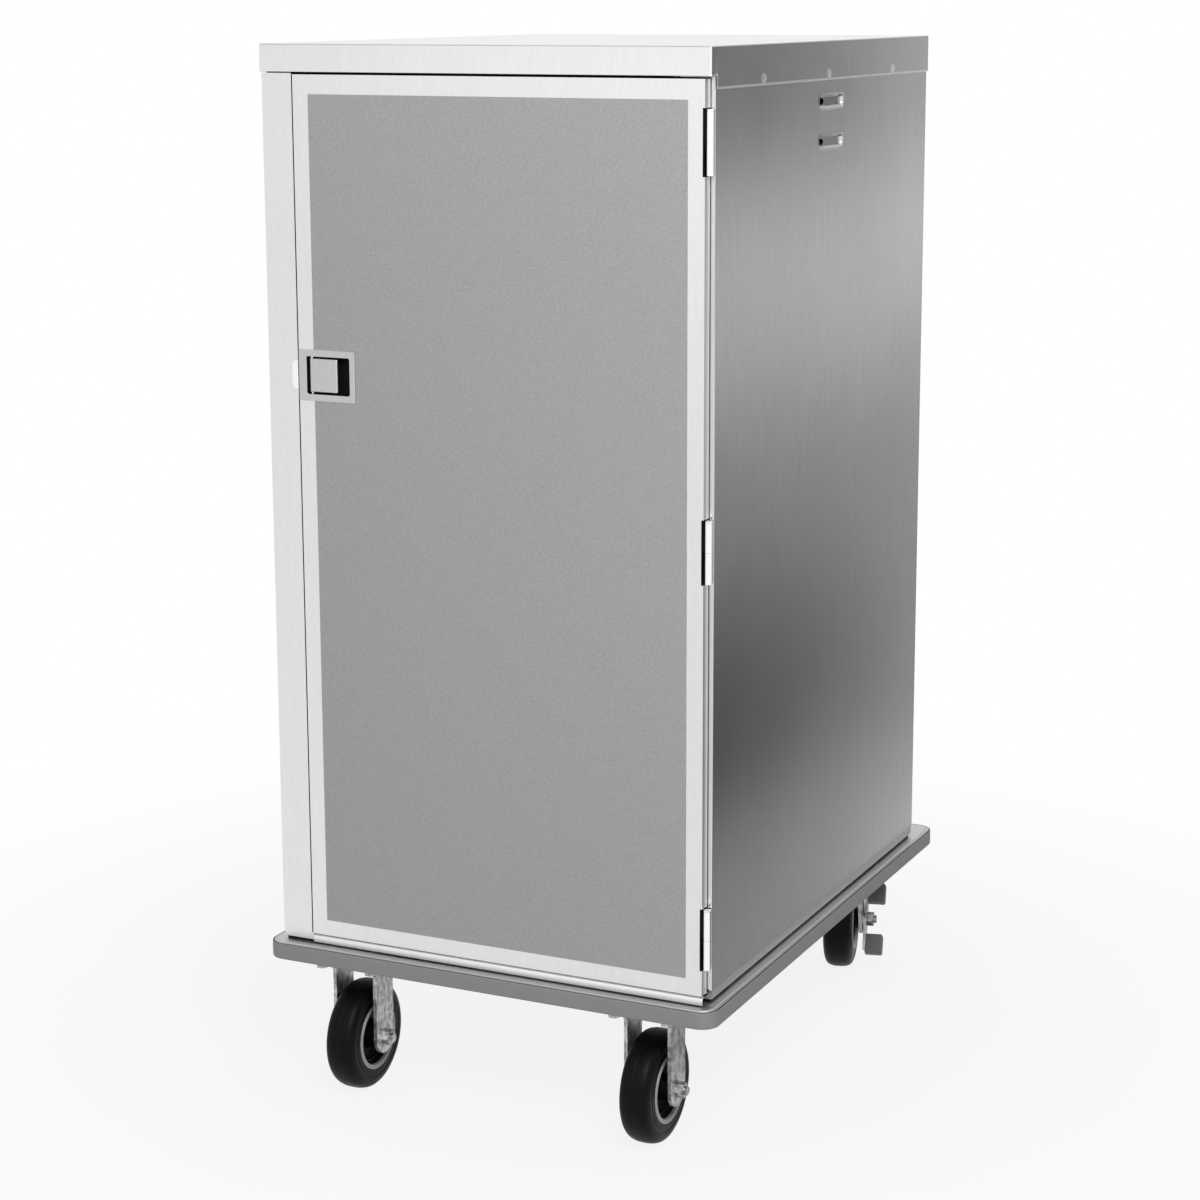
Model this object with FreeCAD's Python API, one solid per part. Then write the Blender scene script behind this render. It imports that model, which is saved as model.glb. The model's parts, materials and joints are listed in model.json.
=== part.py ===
"""Enclosed meal tray cart: a folded sheet-metal cabinet on a bumper-edged platform.

Millimetres, +Z up. The origin is on the floor under the middle of the bumper's outline.
The door faces -Y and its hinge is on the +X side. The front casters are rigid, the rear ones swivel.
"""
import FreeCAD
import Part
import math
import os

V = FreeCAD.Vector
UP = V(0, 0, 1)

# ---------------------------------------------------------------- driving dimensions
CABINET_WIDTH = 634.0
CABINET_DEPTH = 806.0          # door face to rear panel
CABINET_HEIGHT = 1200.0        # lower edge of the side panels to the top of the cap
SHEET = 1.5                    # body panels
FLANGE = 12.0                  # turned-in edge of a panel
FACE = 0.3                     # clearance between pieces that only lie beside each other

WHEEL_DIAMETER = 152.0
PLATFORM_DEPTH = 24.0          # height of the platform pan
PLATFORM_SHEET = 2.5
CHANNEL_SHEET = 3.0
RUNNER_WIDTH = 40.0
BODY_FRAME_HEIGHT = 17.0       # frame between platform and panels
BODY_FRAME_INSET = 1.0         # frame inside the panels' faces
BODY_FRAME_UNDERCUT = 3.0
BODY_FRAME_FOOT = 4.0          # height of the undercut
BODY_FRAME_WIDTH = 40.0
SILL_ROUND = 6.0
SILL_ABOVE = 2.0               # sill over the platform
SILL_BELOW = 2.5               # and under the door
PAN_LIP = 15.0                 # upturned edge of the floor pan
BUMPER_OUT_SIDE = 17.0         # bumper face beyond the cabinet
BUMPER_OUT_FRONT = 20.0
BUMPER_OUT_REAR = 62.0
BUMPER_CORNER = 25.0           # outer corner radius in plan
BUMPER_STRIP = 2.5             # strip proud of its channel
BUMPER_CHANNEL = 1.5
BUMPER_LIP = 1.5

DOOR_THICKNESS = 16.0
DOOR_SETBACK = 18.0            # door face to the face that it closes on
DOOR_TOP_GAP = 2.0
DOOR_SIDE_GAP = 1.7
DOOR_OVERHANG = 3.0            # door and jamb below the side panels' lower edge
DOOR_RIGHT_MARGIN = 6.0        # cabinet side to the door's hinge edge
JAMB_WIDTH = 46.0
JAMB_DEPTH = 40.0
STOP_WIDTH = 19.0              # rebate that the door closes on
HEADER_HEIGHT = 37.0           # cap skirt above the door
CAP_SKIRT = 52.0               # cap skirt on the sides and rear
CAP_SHEET = 2.0

PANEL_MARGIN_LEFT = 22.8       # decor panel inside the door's edges
PANEL_MARGIN_RIGHT = 22.5
PANEL_MARGIN_TOP = 25.0
PANEL_MARGIN_BOTTOM = 22.0
PANEL_THICKNESS = 0.8
PANEL_RECESS = 0.5
GASKET_WIDTH = 12.0
GASKET_THICKNESS = 1.7

HINGE_LENGTH = 80.0
HINGE_RADIUS = 5.2
HINGE_PIN_RADIUS = 2.5
HINGE_LOW = 73.0               # middle of the lowest hinge above the panels' lower edge
HINGE_TOP_IN = 115.0           # middle of the highest below the top
HINGE_COUNT = 3
HINGE_NOTCH = 3.0              # cut into the door's edge beside the barrel
HINGE_LEAF = 19.0
HINGE_LEAF_THICKNESS = 1.7
RUN = 0.05                     # radial clearance of a pin in its hole

LATCH_WIDTH = 85.0             # bezel
LATCH_HEIGHT = 68.0
LATCH_MIDDLE = 770.5           # above the panels' lower edge
LATCH_BEZEL = 1.0
LATCH_WALL = 1.3
POCKET_WIDTH = 65.0
POCKET_HEIGHT = 50.0
POCKET_DEPTH = 13.0
POCKET_INSET = 11.7            # bezel edge to pocket
PADDLE_WIDTH = 43.0
PADDLE_HEIGHT = 45.0
PADDLE_THICKNESS = 3.0
PADDLE_INSET = 2.8
PADDLE_KNUCKLE = 3.2
PADDLE_PIN_RADIUS = 1.8
BOLT_HEIGHT = 20.0
BOLT_THICKNESS = 4.7
BOLT_LENGTH = 31.0
BOLT_NOSE_OUT = 0.5            # nose past the door's edge at rest
STRIKE_LIP = 8.0
STRIKE_HEIGHT = 38.0
STRIKE_THICKNESS = 1.3
STRIKE_LEG = 0.8
TAB_HEIGHT = 7.0               # tab behind the paddle that pulls the bolt
BOLT_WINDOW_HEIGHT = 8.4
BOLT_WINDOW_LEFT = 4.5
BOLT_SLOT_ROOM = 1.5           # above and below the bolt in the jamb
GUIDE_GAP = 1.2                # bolt to the middle of a guide rib
GUIDE_RIB = 1.6

VENT_LENGTH = 89.0
VENT_HEIGHT = 17.5
VENT_CORNER = 7.0
VENT_FRONT_DEPTH = 6.5         # the recess's floor slopes in towards the front
VENT_REAR_DEPTH = 3.5
VENT_DRAFT = 1.6               # lean of the pressed walls
VENT_HOLE_LENGTH = 20.0
VENT_HOLE_HEIGHT = 9.5
VENT_HOLE_IN = 11.0            # front end of the recess to the oval hole
VENT_DOWN = 80.0               # middle of the upper vent below the top
VENT_PITCH = 53.5
VENT_COUNT = 2
VENT_BEHIND = 10.5             # vents behind the middle of the cabinet

POST_DEPTH = 45.0              # leaves 3.6 mm at each end of trays 508 mm wide
LEDGE_WIDTH = 30.0
LEDGE_DROP = 25.0
LEDGE_THICKNESS = 2.0
LEDGE_COUNT = 8
LEDGE_FIRST = 78.0             # top of the lowest ledge above the panels' lower edge
LEDGE_TOP_ROOM = 170.0         # highest ledge below the top
LEDGE_END_ROOM = 5.0
POST_WIDTH = 40.0
POST_COUNT = 3
POST_INSET = 60.0              # first and last post from the ledge ends
POST_ABOVE = 15.0              # post past the top ledge

HANDLE_HEIGHT = 776.0          # above the panels' lower edge
HANDLE_SPAN = 350.0
HANDLE_STAND = 40.0
HANDLE_RADIUS = 12.7
HANDLE_BEND = 28.0
HANDLE_FLANGE_RADIUS = 30.0
HANDLE_FLANGE = 3.0

CASTER_SIDE_IN = 112.0         # kingpin or fork centre from the bumper's side face
FRONT_CASTER_IN = 71.0         # from the bumper's front face
REAR_CASTER_IN = 122.0         # from the bumper's rear face
SWIVEL_REST = 14.0             # degrees that the swivel casters are turned at rest
TRAIL = 40.0
PLATE_WIDTH = 95.0
PLATE_LENGTH = 114.0
PLATE_THICKNESS = 5.0
PLATE_BOLT_X = 38.0            # half of the bolt spacing
PLATE_BOLT_Y = 45.0
PLATE_BOLT_RADIUS = 5.0
PLATE_BOLT_FLATS = 15.0
PLATE_BOLT_HEAD = 6.0
PLATE_NUT = 8.0
PLATE_CORNER = 8.0
LEG_GAP = 58.0                 # between the fork legs
LEG_THICKNESS = 5.0
LEG_WIDTH = 46.0
AXLE_RADIUS = 6.0
TYRE_WIDTH = 44.0
TYRE_SHOULDER = 12.0
TYRE_BEAD = 47.0               # radius where the tyre sits on the hub
HUB_WIDTH = 46.0
HUB_BOSS = 17.0
HUB_WEB = 12.0
BEARING_RADIUS = 11.0
NUT_FLATS = 19.0
NUT_THICKNESS = 10.0
HEAD_THICKNESS = 8.0
GUSSET_HEIGHT = 18.0           # flare of a fork leg under its plate
GUSSET_WIDTH = 10.0

TYRE_ROOM = 19.0               # tyre to the swivel yoke's crown
CROWN_THICKNESS = 6.0
RACE_HEIGHT = 11.0             # crown to the caster plate
CROWN_RADIUS = 36.0
KINGPIN_RADIUS = 7.0
KINGPIN_HEAD_RADIUS = 11.0
KINGPIN_HEAD = 4.0
KINGPIN_COLLAR_RADIUS = 12.0
KINGPIN_FLATS = 22.0
RACE_GAP = 3.0                 # crown to the upper race ring
YOKE_FRONT = 24.0              # yoke legs' top, before and behind the kingpin
YOKE_BACK = 30.0
RACE_IN = 25.0
RACE_OUT = 35.0
PEDAL_REACH = 40.0             # axle to the middle of a brake pad
PEDAL_ANGLE = 60.0             # degrees above level at rest
PEDAL_THICKNESS = 4.0
PEDAL_WIDTH = 24.0
CAM_THICKNESS = 2.0
CAM_RADIUS = 14.0
PAD_OUT = 26.0
PAD_ALONG = 30.0
PAD_ACROSS = 24.0

# ---------------------------------------------------------------- worked-out places
CROWN_TOP = WHEEL_DIAMETER + TYRE_ROOM + CROWN_THICKNESS
PLATE_LOW = CROWN_TOP + RACE_HEIGHT
CASTER_HEIGHT = PLATE_LOW + PLATE_THICKNESS
PLATFORM_TOP = CASTER_HEIGHT + PLATFORM_DEPTH
BODY_Z = PLATFORM_TOP + BODY_FRAME_HEIGHT
BASE_X = CABINET_WIDTH / 2 + BUMPER_OUT_SIDE
BASE_Y = (CABINET_DEPTH + BUMPER_OUT_FRONT + BUMPER_OUT_REAR) / 2
SIDE = CABINET_WIDTH / 2
FRONT = BUMPER_OUT_FRONT - BASE_Y
REAR = FRONT + CABINET_DEPTH
TOP = BODY_Z + CABINET_HEIGHT
STOP_Y = FRONT + DOOR_SETBACK
INNER = SIDE - SHEET
VENT_Y = (FRONT + REAR) / 2 + VENT_BEHIND

DOOR_LEFT = -SIDE + JAMB_WIDTH + DOOR_SIDE_GAP
DOOR_RIGHT = SIDE - DOOR_RIGHT_MARGIN
DOOR_LOW = BODY_Z - DOOR_OVERHANG
HEADER_LOW = TOP - HEADER_HEIGHT
DOOR_HIGH = HEADER_LOW - DOOR_TOP_GAP
HINGE_X = DOOR_RIGHT + HINGE_RADIUS - 0.2
HINGE_Y = FRONT + HINGE_RADIUS + FACE
HINGE_STEP = (CABINET_HEIGHT - HINGE_TOP_IN - HINGE_LOW) / (HINGE_COUNT - 1)
HINGE_MIDDLES = [BODY_Z + HINGE_LOW + HINGE_STEP * i for i in range(HINGE_COUNT)]

LATCH_Z = BODY_Z + LATCH_MIDDLE
POCKET_LEFT = DOOR_LEFT + POCKET_INSET
PADDLE_LEFT = POCKET_LEFT + PADDLE_INSET
PIVOT_X = PADDLE_LEFT + PADDLE_KNUCKLE
PIVOT_Y = FRONT + PADDLE_KNUCKLE + 1.1
TAB_HALF = 1.25
TAB_PLAY = 0.5
TAB_REACH = POCKET_DEPTH - (PIVOT_Y - FRONT) - 0.6

CASTER_X = BASE_X - CASTER_SIDE_IN
CASTER_FRONT_Y = FRONT_CASTER_IN - BASE_Y
CASTER_REAR_Y = BASE_Y - REAR_CASTER_IN
AXLE_Z = WHEEL_DIAMETER / 2
LEG_IN = LEG_GAP / 2
LEG_OUT = LEG_IN + LEG_THICKNESS
LEDGE_PITCH = (CABINET_HEIGHT - LEDGE_FIRST - LEDGE_TOP_ROOM) / (LEDGE_COUNT - 1)

NODES = {}


# ---------------------------------------------------------------- small makers
def box(x0, x1, y0, y1, z0, z1):
    return Part.makeBox(x1 - x0, y1 - y0, z1 - z0, V(x0, y0, z0))


def rod(radius, start, end):
    along = end - start
    return Part.makeCylinder(radius, along.Length, start, along)


def tube(outer, inner, start, end):
    return rod(outer, start, end).cut(rod(inner, start, end))


def prism(points, along):
    """Solid from a closed outline swept in a straight line."""
    return Part.Face(Part.makePolygon(points + points[:1])).extrude(along)


def hexagon(flats, thickness, start, along):
    """Hexagonal prism across the given flats, standing on start, along a unit vector."""
    corner = flats / math.sqrt(3)
    side = along.cross(UP)
    if side.Length < 0.5:
        side = V(1, 0, 0)
    other = along.cross(side)
    turns = [math.radians(60 * i) for i in range(6)]
    points = [start + side * (corner * math.cos(t)) + other * (corner * math.sin(t)) for t in turns]
    return prism(points, along * thickness)


def outline(inset, z):
    """Base outline with round corners, moved in by inset, as a face at height z."""
    x, y = BASE_X - inset, BASE_Y - inset
    block = box(-x, x, -y, y, z, z + 1)
    upright = [e for e in block.Edges if abs(e.tangentAt(e.FirstParameter).z) > 0.9]
    block = block.makeFillet(BUMPER_CORNER - inset, upright)
    return [f for f in block.Faces if f.normalAt(0, 0).z < -0.9][0]


def ring(out_inset, in_inset, z0, z1):
    """Band that follows the base outline between two insets."""
    height = V(0, 0, z1 - z0)
    return outline(out_inset, z0).extrude(height).cut(outline(in_inset, z0).extrude(height))


def folded(path, thickness, along):
    """Sheet folded at right angles: a path of (point) corners, thickened to its left, then extruded."""
    count = len(path) - 1
    runs = [(path[i + 1] - path[i]).normalize() for i in range(count)]
    lefts = [along.cross(r).normalize() * thickness for r in runs]
    inner = [path[0] + lefts[0]]
    inner += [path[i] + lefts[i - 1] + lefts[i] for i in range(1, count)]
    inner.append(path[-1] + lefts[-1])
    return prism(path + inner[::-1], along)


def rounded_box(x0, x1, y0, y1, z0, z1, radius, direction):
    """Box whose edges along one direction are rounded."""
    block = box(x0, x1, y0, y1, z0, z1)
    chosen = [e for e in block.Edges if abs(e.tangentAt(e.FirstParameter).dot(direction)) > 0.9]
    return block.makeFillet(radius, chosen)


def mirrored(shape, middle=0.0):
    return shape.mirror(V(middle, 0, 0), V(1, 0, 0))


def keep(name, *solids):
    NODES[name] = list(solids)


# ---------------------------------------------------------------- platform and bumper
def make_platform():
    edge = BUMPER_STRIP + BUMPER_CHANNEL + BUMPER_LIP
    depth = V(0, 0, PLATFORM_DEPTH)
    pan = outline(edge, CASTER_HEIGHT).extrude(depth)
    rim = [e for e in pan.Edges if e.BoundBox.ZMin > PLATFORM_TOP - 0.1]
    pan = pan.makeFillet(PLATFORM_SHEET, rim)
    hollow = V(0, 0, PLATFORM_DEPTH - PLATFORM_SHEET)
    pan = pan.cut(outline(edge + PLATFORM_SHEET, CASTER_HEIGHT).extrude(hollow))
    keep("base_platform", pan)


def make_base_channels():
    """Two cross channels that carry the casters and two runners between them."""
    edge = BUMPER_STRIP + BUMPER_CHANNEL + BUMPER_LIP + PLATFORM_SHEET + FACE
    half = BASE_X - edge
    high = PLATFORM_TOP - PLATFORM_SHEET
    half_width = PLATE_LENGTH / 2 + 5
    room = outline(edge, CASTER_HEIGHT - 1).extrude(V(0, 0, PLATFORM_DEPTH))
    across = []
    for y in (CASTER_FRONT_Y, CASTER_REAR_Y):
        low, far = y - half_width, y + half_width
        path = [V(-half, low, high), V(-half, low, CASTER_HEIGHT),
                V(-half, far, CASTER_HEIGHT), V(-half, far, high)]
        channel = folded(path, CHANNEL_SHEET, V(2 * half, 0, 0)).common(room)
        for x in (-CASTER_X, CASTER_X):
            channel = channel.cut(Part.makeCompound(plate_bolt_shanks(x, y)))
        across.append(channel)
    start = CASTER_FRONT_Y + half_width + FACE
    length = CASTER_REAR_Y - CASTER_FRONT_Y - 2 * (half_width + FACE)
    runners = []
    for x in (-CASTER_X, CASTER_X):
        a, b = x - RUNNER_WIDTH / 2, x + RUNNER_WIDTH / 2
        path = [V(a, start, high), V(a, start, CASTER_HEIGHT),
                V(b, start, CASTER_HEIGHT), V(b, start, high)]
        runners.append(folded(path[::-1], CHANNEL_SHEET, V(0, length, 0)))
    keep("base_channels", *across, *runners)


def make_bumper():
    back = BUMPER_STRIP + BUMPER_CHANNEL + BUMPER_LIP
    low, high = CASTER_HEIGHT + 0.5, PLATFORM_TOP - 1.0
    web = ring(BUMPER_STRIP + BUMPER_LIP, back, low, high)
    inside = BUMPER_STRIP + BUMPER_LIP
    lips = [ring(BUMPER_STRIP, inside, z, z + BUMPER_LIP) for z in (low, high - BUMPER_LIP)]
    keep("bumper_channel", web.fuse(lips).removeSplitter())
    face = ring(0, BUMPER_STRIP, low - 0.4, high + 0.4)
    edges = [e for e in face.Edges if abs(e.BoundBox.ZLength) < 0.01 and outer_edge(e)]
    face = face.makeFillet(BUMPER_STRIP - 0.5, edges)
    tongue = ring(BUMPER_STRIP, BUMPER_STRIP + BUMPER_LIP, low + BUMPER_LIP, high - BUMPER_LIP)
    keep("bumper_strip", face.fuse(tongue).removeSplitter())


def outer_edge(edge):
    """True for an edge on the outermost outline of the bumper."""
    middle = edge.valueAt((edge.FirstParameter + edge.LastParameter) / 2)
    corner_x, corner_y = BASE_X - BUMPER_CORNER, BASE_Y - BUMPER_CORNER
    over_x, over_y = abs(middle.x) - corner_x, abs(middle.y) - corner_y
    reach = math.hypot(max(over_x, 0), max(over_y, 0))
    return reach > BUMPER_CORNER - 0.1


def make_body_frame():
    """Tubular frame that lifts the cabinet off the platform, undercut at its lower edge."""
    low, high = PLATFORM_TOP, BODY_Z
    inset, under, step = BODY_FRAME_INSET, BODY_FRAME_UNDERCUT, low + BODY_FRAME_FOOT
    x0, x1, y0, y1 = -SIDE + inset, SIDE - inset, STOP_Y + 3, REAR - inset
    block = box(x0, x1, y0, y1, step, high)
    block = block.fuse(box(x0 + under, x1 - under, y0, y1 - under, low, high))
    front = FRONT + 2
    foot = box(x0, DOOR_LEFT, front, y0 + 1, step, DOOR_LOW)
    foot = foot.fuse(box(x0 + under, DOOR_LEFT - under, front + under, y0 + 1, low, DOOR_LOW))
    w = BODY_FRAME_WIDTH
    hollow = box(x0 + w, x1 - w, y0 + w, y1 - w, low - 1, high + 1)
    keep("body_frame", block.fuse(foot).cut(hollow).removeSplitter())


def nose_edges(block, front, high):
    """Edges of a block that lie along its front top corner."""
    near = 0.1
    return [e for e in block.Edges if e.BoundBox.YMax < front + near and e.BoundBox.ZMin > high - near]


def make_door_sill():
    """Round-topped strip under the door, with the stop that the door closes on behind it."""
    x0, x1 = DOOR_LEFT + 1, DOOR_RIGHT + 1
    low, high = PLATFORM_TOP + SILL_ABOVE, DOOR_LOW - SILL_BELOW
    front, back = FRONT + 1, STOP_Y
    block = box(x0, x1, front, back, low, high)
    block = block.makeFillet(SILL_ROUND, nose_edges(block, front, high))
    inner = box(x0 - 1, x1 + 1, front + SHEET, back + 1, low - 1, high - SHEET)
    nose = nose_edges(inner, front + SHEET, high - SHEET)
    strip = block.cut(inner.makeFillet(SILL_ROUND - SHEET, nose))
    left, right = -SIDE + JAMB_WIDTH + STOP_WIDTH + FACE, INNER - JAMB_WIDTH
    stop = box(left, right, back, back + SHEET, low, DOOR_LOW + STOP_WIDTH)
    keep("door_sill", strip.fuse(stop).removeSplitter())


# ---------------------------------------------------------------- cabinet body
def vent_outline(z, sunk, grow):
    """Rounded outline of a vent: on the sheet's face for sunk 0, on the recess's floor for sunk 1."""
    lean = grow - VENT_DRAFT * sunk
    half, tall, corner = VENT_LENGTH / 2 + lean, VENT_HEIGHT / 2 + lean, VENT_CORNER + lean
    slope = (VENT_FRONT_DEPTH - VENT_REAR_DEPTH) / VENT_LENGTH
    middle_depth = (VENT_FRONT_DEPTH + VENT_REAR_DEPTH) / 2 + grow

    def at(along, up):
        return V(SIDE - sunk * (middle_depth - slope * along), VENT_Y + along, z + up)

    corners = []
    for quarter in range(4):
        y = (half - corner) * (1 if quarter in (0, 3) else -1)
        up = (tall - corner) * (1 if quarter in (0, 1) else -1)
        turns = [math.radians(90 * quarter + t) for t in (0, 45, 90)]
        corners.append([at(y + corner * math.cos(t), up + corner * math.sin(t)) for t in turns])
    edges = []
    for i in range(4):
        edges.append(Part.Arc(*corners[i]).toShape())
        edges.append(Part.makeLine(corners[i][2], corners[(i + 1) % 4][0]))
    return Part.Wire(edges)


def vent_recess(z, grow):
    """Pressed recess with leaning walls and a sloping floor, grown by the sheet for its outer skin."""
    return Part.makeLoft([vent_outline(z, 0, grow), vent_outline(z, 1, grow)], True, True)


def vent_hole(z):
    """Oval hole through the recess's floor, near its front end."""
    r = VENT_HOLE_HEIGHT / 2
    a = VENT_Y - VENT_LENGTH / 2 + VENT_HOLE_IN + r
    b = a + VENT_HOLE_LENGTH - VENT_HOLE_HEIGHT
    x0, x1 = SIDE - 2 * VENT_FRONT_DEPTH, SIDE + 1
    ends = [rod(r, V(x0, y, z), V(x1, y, z)) for y in (a, b)]
    return box(x0, x1, a, b, z - r, z + r).fuse(ends)


def make_side(front_y):
    """Side panel on the +X side: outer sheet, turned-in lower edge and two pressed vents."""
    panel = box(INNER, SIDE, front_y, REAR, BODY_Z, TOP - CAP_SHEET)
    panel = panel.fuse(box(SIDE - FLANGE, SIDE, front_y + SHEET, REAR - SHEET, BODY_Z, BODY_Z + SHEET))
    panel = panel.cut(box(INNER - 1, SIDE + 1, FRONT - 1, FRONT + CAP_SHEET + FACE, HEADER_LOW - FACE, TOP))
    for i in range(VENT_COUNT):
        z = TOP - VENT_DOWN - VENT_PITCH * i
        panel = panel.fuse(vent_recess(z, SHEET)).cut(vent_recess(z, 0)).cut(vent_hole(z))
    return panel.removeSplitter()


def make_panels():
    keep("side_panel_right", make_side(STOP_Y))
    keep("side_panel_left", mirrored(make_side(FRONT)))
    keep("rear_panel", box(-INNER, INNER, REAR - SHEET, REAR, BODY_Z, TOP - CAP_SHEET))
    low = BODY_Z + SHEET
    half = INNER - FACE
    lip = low + PAN_LIP
    path = [V(-half, 0, lip), V(-half, 0, low), V(half, 0, low), V(half, 0, lip)]
    front, back = STOP_Y + JAMB_DEPTH / 2, REAR - SHEET - FACE
    shift = V(0, front, 0)
    pan = folded([p + shift for p in path[::-1]], SHEET, V(0, back - front, 0))
    pan = pan.fuse(box(-half, half, back - SHEET, back, low, lip))
    keep("floor_pan", pan.removeSplitter())


def make_cap():
    """Top cap: flat sheet with a skirt all round, shallow over the door and deeper elsewhere."""
    lap = CAP_SHEET + FACE
    x, y1 = SIDE + lap, REAR + lap
    low = TOP - CAP_SKIRT
    shell = box(-x, x, FRONT, y1, low, TOP)
    top_edges = [e for e in shell.Edges if e.BoundBox.ZMin > TOP - 0.1]
    shell = shell.makeFillet(CAP_SHEET - 0.4, top_edges)
    t = CAP_SHEET
    shell = shell.cut(box(-x + t, x - t, FRONT + t, y1 - t, low - 1, TOP - t))
    shell = shell.cut(box(-x - 1, x + 1, FRONT - 1, STOP_Y, low - 1, HEADER_LOW))
    keep("top_cap", shell.removeSplitter())


def make_frame_posts():
    """Left jamb with the angle that the door closes on, hinge post and header."""
    high = HEADER_LOW - FACE
    edge = -SIDE + JAMB_WIDTH
    tall = V(0, 0, high - DOOR_LOW)
    face = [V(-INNER, FRONT, DOOR_LOW), V(edge, FRONT, DOOR_LOW), V(edge, STOP_Y, DOOR_LOW)]
    jamb = folded(face, SHEET, tall)
    stop_x = edge + STOP_WIDTH
    angle = [V(edge - SHEET, STOP_Y, DOOR_LOW), V(stop_x, STOP_Y, DOOR_LOW),
             V(stop_x, STOP_Y + JAMB_DEPTH, DOOR_LOW)]
    stop = folded(angle, SHEET, tall)
    slot_half = BOLT_HEIGHT / 2 + BOLT_SLOT_ROOM
    slot = box(edge - 3, edge + 1, FRONT + 6, FRONT + 15, LATCH_Z - slot_half, LATCH_Z + slot_half)
    over_frame = box(-SIDE, 0, STOP_Y + SHEET, STOP_Y + JAMB_DEPTH + 1, DOOR_LOW - 1, BODY_Z + 2 * SHEET)
    keep("left_jamb", jamb.cut(slot), stop.cut(over_frame))
    post_x = INNER - JAMB_WIDTH
    path = [V(INNER, STOP_Y, BODY_Z + SHEET), V(post_x, STOP_Y, BODY_Z + SHEET),
            V(post_x, STOP_Y + JAMB_DEPTH, BODY_Z + SHEET)]
    post = folded(path[::-1], SHEET, V(0, 0, TOP - CAP_SHEET - BODY_Z - SHEET))
    over_pan = box(0, SIDE, STOP_Y + SHEET, STOP_Y + JAMB_DEPTH + 1, BODY_Z, BODY_Z + 2 * SHEET)
    keep("hinge_post", post.cut(over_pan))
    x0, x1 = edge + STOP_WIDTH + FACE, post_x - FACE
    header = box(x0, x1, STOP_Y, STOP_Y + SHEET, HEADER_LOW - STOP_WIDTH, TOP - CAP_SHEET)
    header = header.fuse(box(x0, x1, FRONT + CAP_SHEET, STOP_Y, HEADER_LOW, HEADER_LOW + SHEET))
    keep("header", header)


# ---------------------------------------------------------------- tray racks
def make_racks():
    middle = (-SIDE + STOP_WIDTH + INNER) / 2
    reach = INNER - FACE - SHEET - FACE
    face = reach - POST_DEPTH
    wall = face - LEDGE_THICKNESS
    y0, y1 = STOP_Y + JAMB_DEPTH + FACE, REAR - SHEET - LEDGE_END_ROOM
    ledges = []
    for i in range(LEDGE_COUNT):
        z = BODY_Z + LEDGE_FIRST + LEDGE_PITCH * i
        lip = wall - LEDGE_WIDTH
        path = [V(lip, y0, z), V(face, y0, z), V(face, y0, z - LEDGE_DROP)]
        ledges.append(folded(path, LEDGE_THICKNESS, V(0, y1 - y0, 0)))
    keep("tray_ledges_right", *ledges)
    keep("tray_ledges_left", *[mirrored(s, middle) for s in ledges])
    low = BODY_Z + 2 * SHEET
    high = BODY_Z + LEDGE_FIRST + LEDGE_PITCH * (LEDGE_COUNT - 1) + POST_ABOVE
    step = (y1 - y0 - 2 * POST_INSET) / (POST_COUNT - 1)
    spots = [y0 + POST_INSET + step * i for i in range(POST_COUNT)]

    def posts(back):
        """Channel posts from the ledges out to the given distance."""
        made = []
        for y in spots:
            a, b = y - POST_WIDTH / 2, y + POST_WIDTH / 2
            path = [V(back, a, low), V(face, a, low), V(face, b, low), V(back, b, low)]
            made.append(folded(path[::-1], SHEET, V(0, 0, high - low)))
        return made

    keep("rack_posts_right", *posts(reach))
    keep("rack_posts_left", *[mirrored(s, middle) for s in posts(reach + 2 * middle)])


# ---------------------------------------------------------------- push handle
def make_handle():
    z = BODY_Z + HANDLE_HEIGHT
    half, out, bend, r = HANDLE_SPAN / 2, REAR + HANDLE_STAND, HANDLE_BEND, HANDLE_RADIUS
    grip = rod(r, V(-half + bend, out, z), V(half - bend, out, z))
    for side in (-1, 1):
        x = side * half
        grip = grip.fuse(rod(r, V(x, REAR + HANDLE_FLANGE, z), V(x, out - bend, z)))
        circle = Part.Face(Part.Wire(Part.makeCircle(r, V(x, out - bend, z), V(0, 1, 0))))
        grip = grip.fuse(circle.revolve(V(x - side * bend, out - bend, z), V(0, 0, side), 90))
        grip = grip.fuse(rod(HANDLE_FLANGE_RADIUS, V(x, REAR, z), V(x, REAR + HANDLE_FLANGE, z)))
    keep("push_handle", grip.removeSplitter())


# ---------------------------------------------------------------- door
def hinge_notch(z, grow):
    """Space cut out of the door's edge for one hinge, grown by a wall for the inside."""
    half = HINGE_LENGTH / 2 + 1.5 + grow
    left, back = DOOR_RIGHT - HINGE_NOTCH - grow, FRONT + DOOR_THICKNESS
    return box(left, DOOR_RIGHT + 1, FRONT - 1, back + 1, z - half, z + half)


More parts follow.
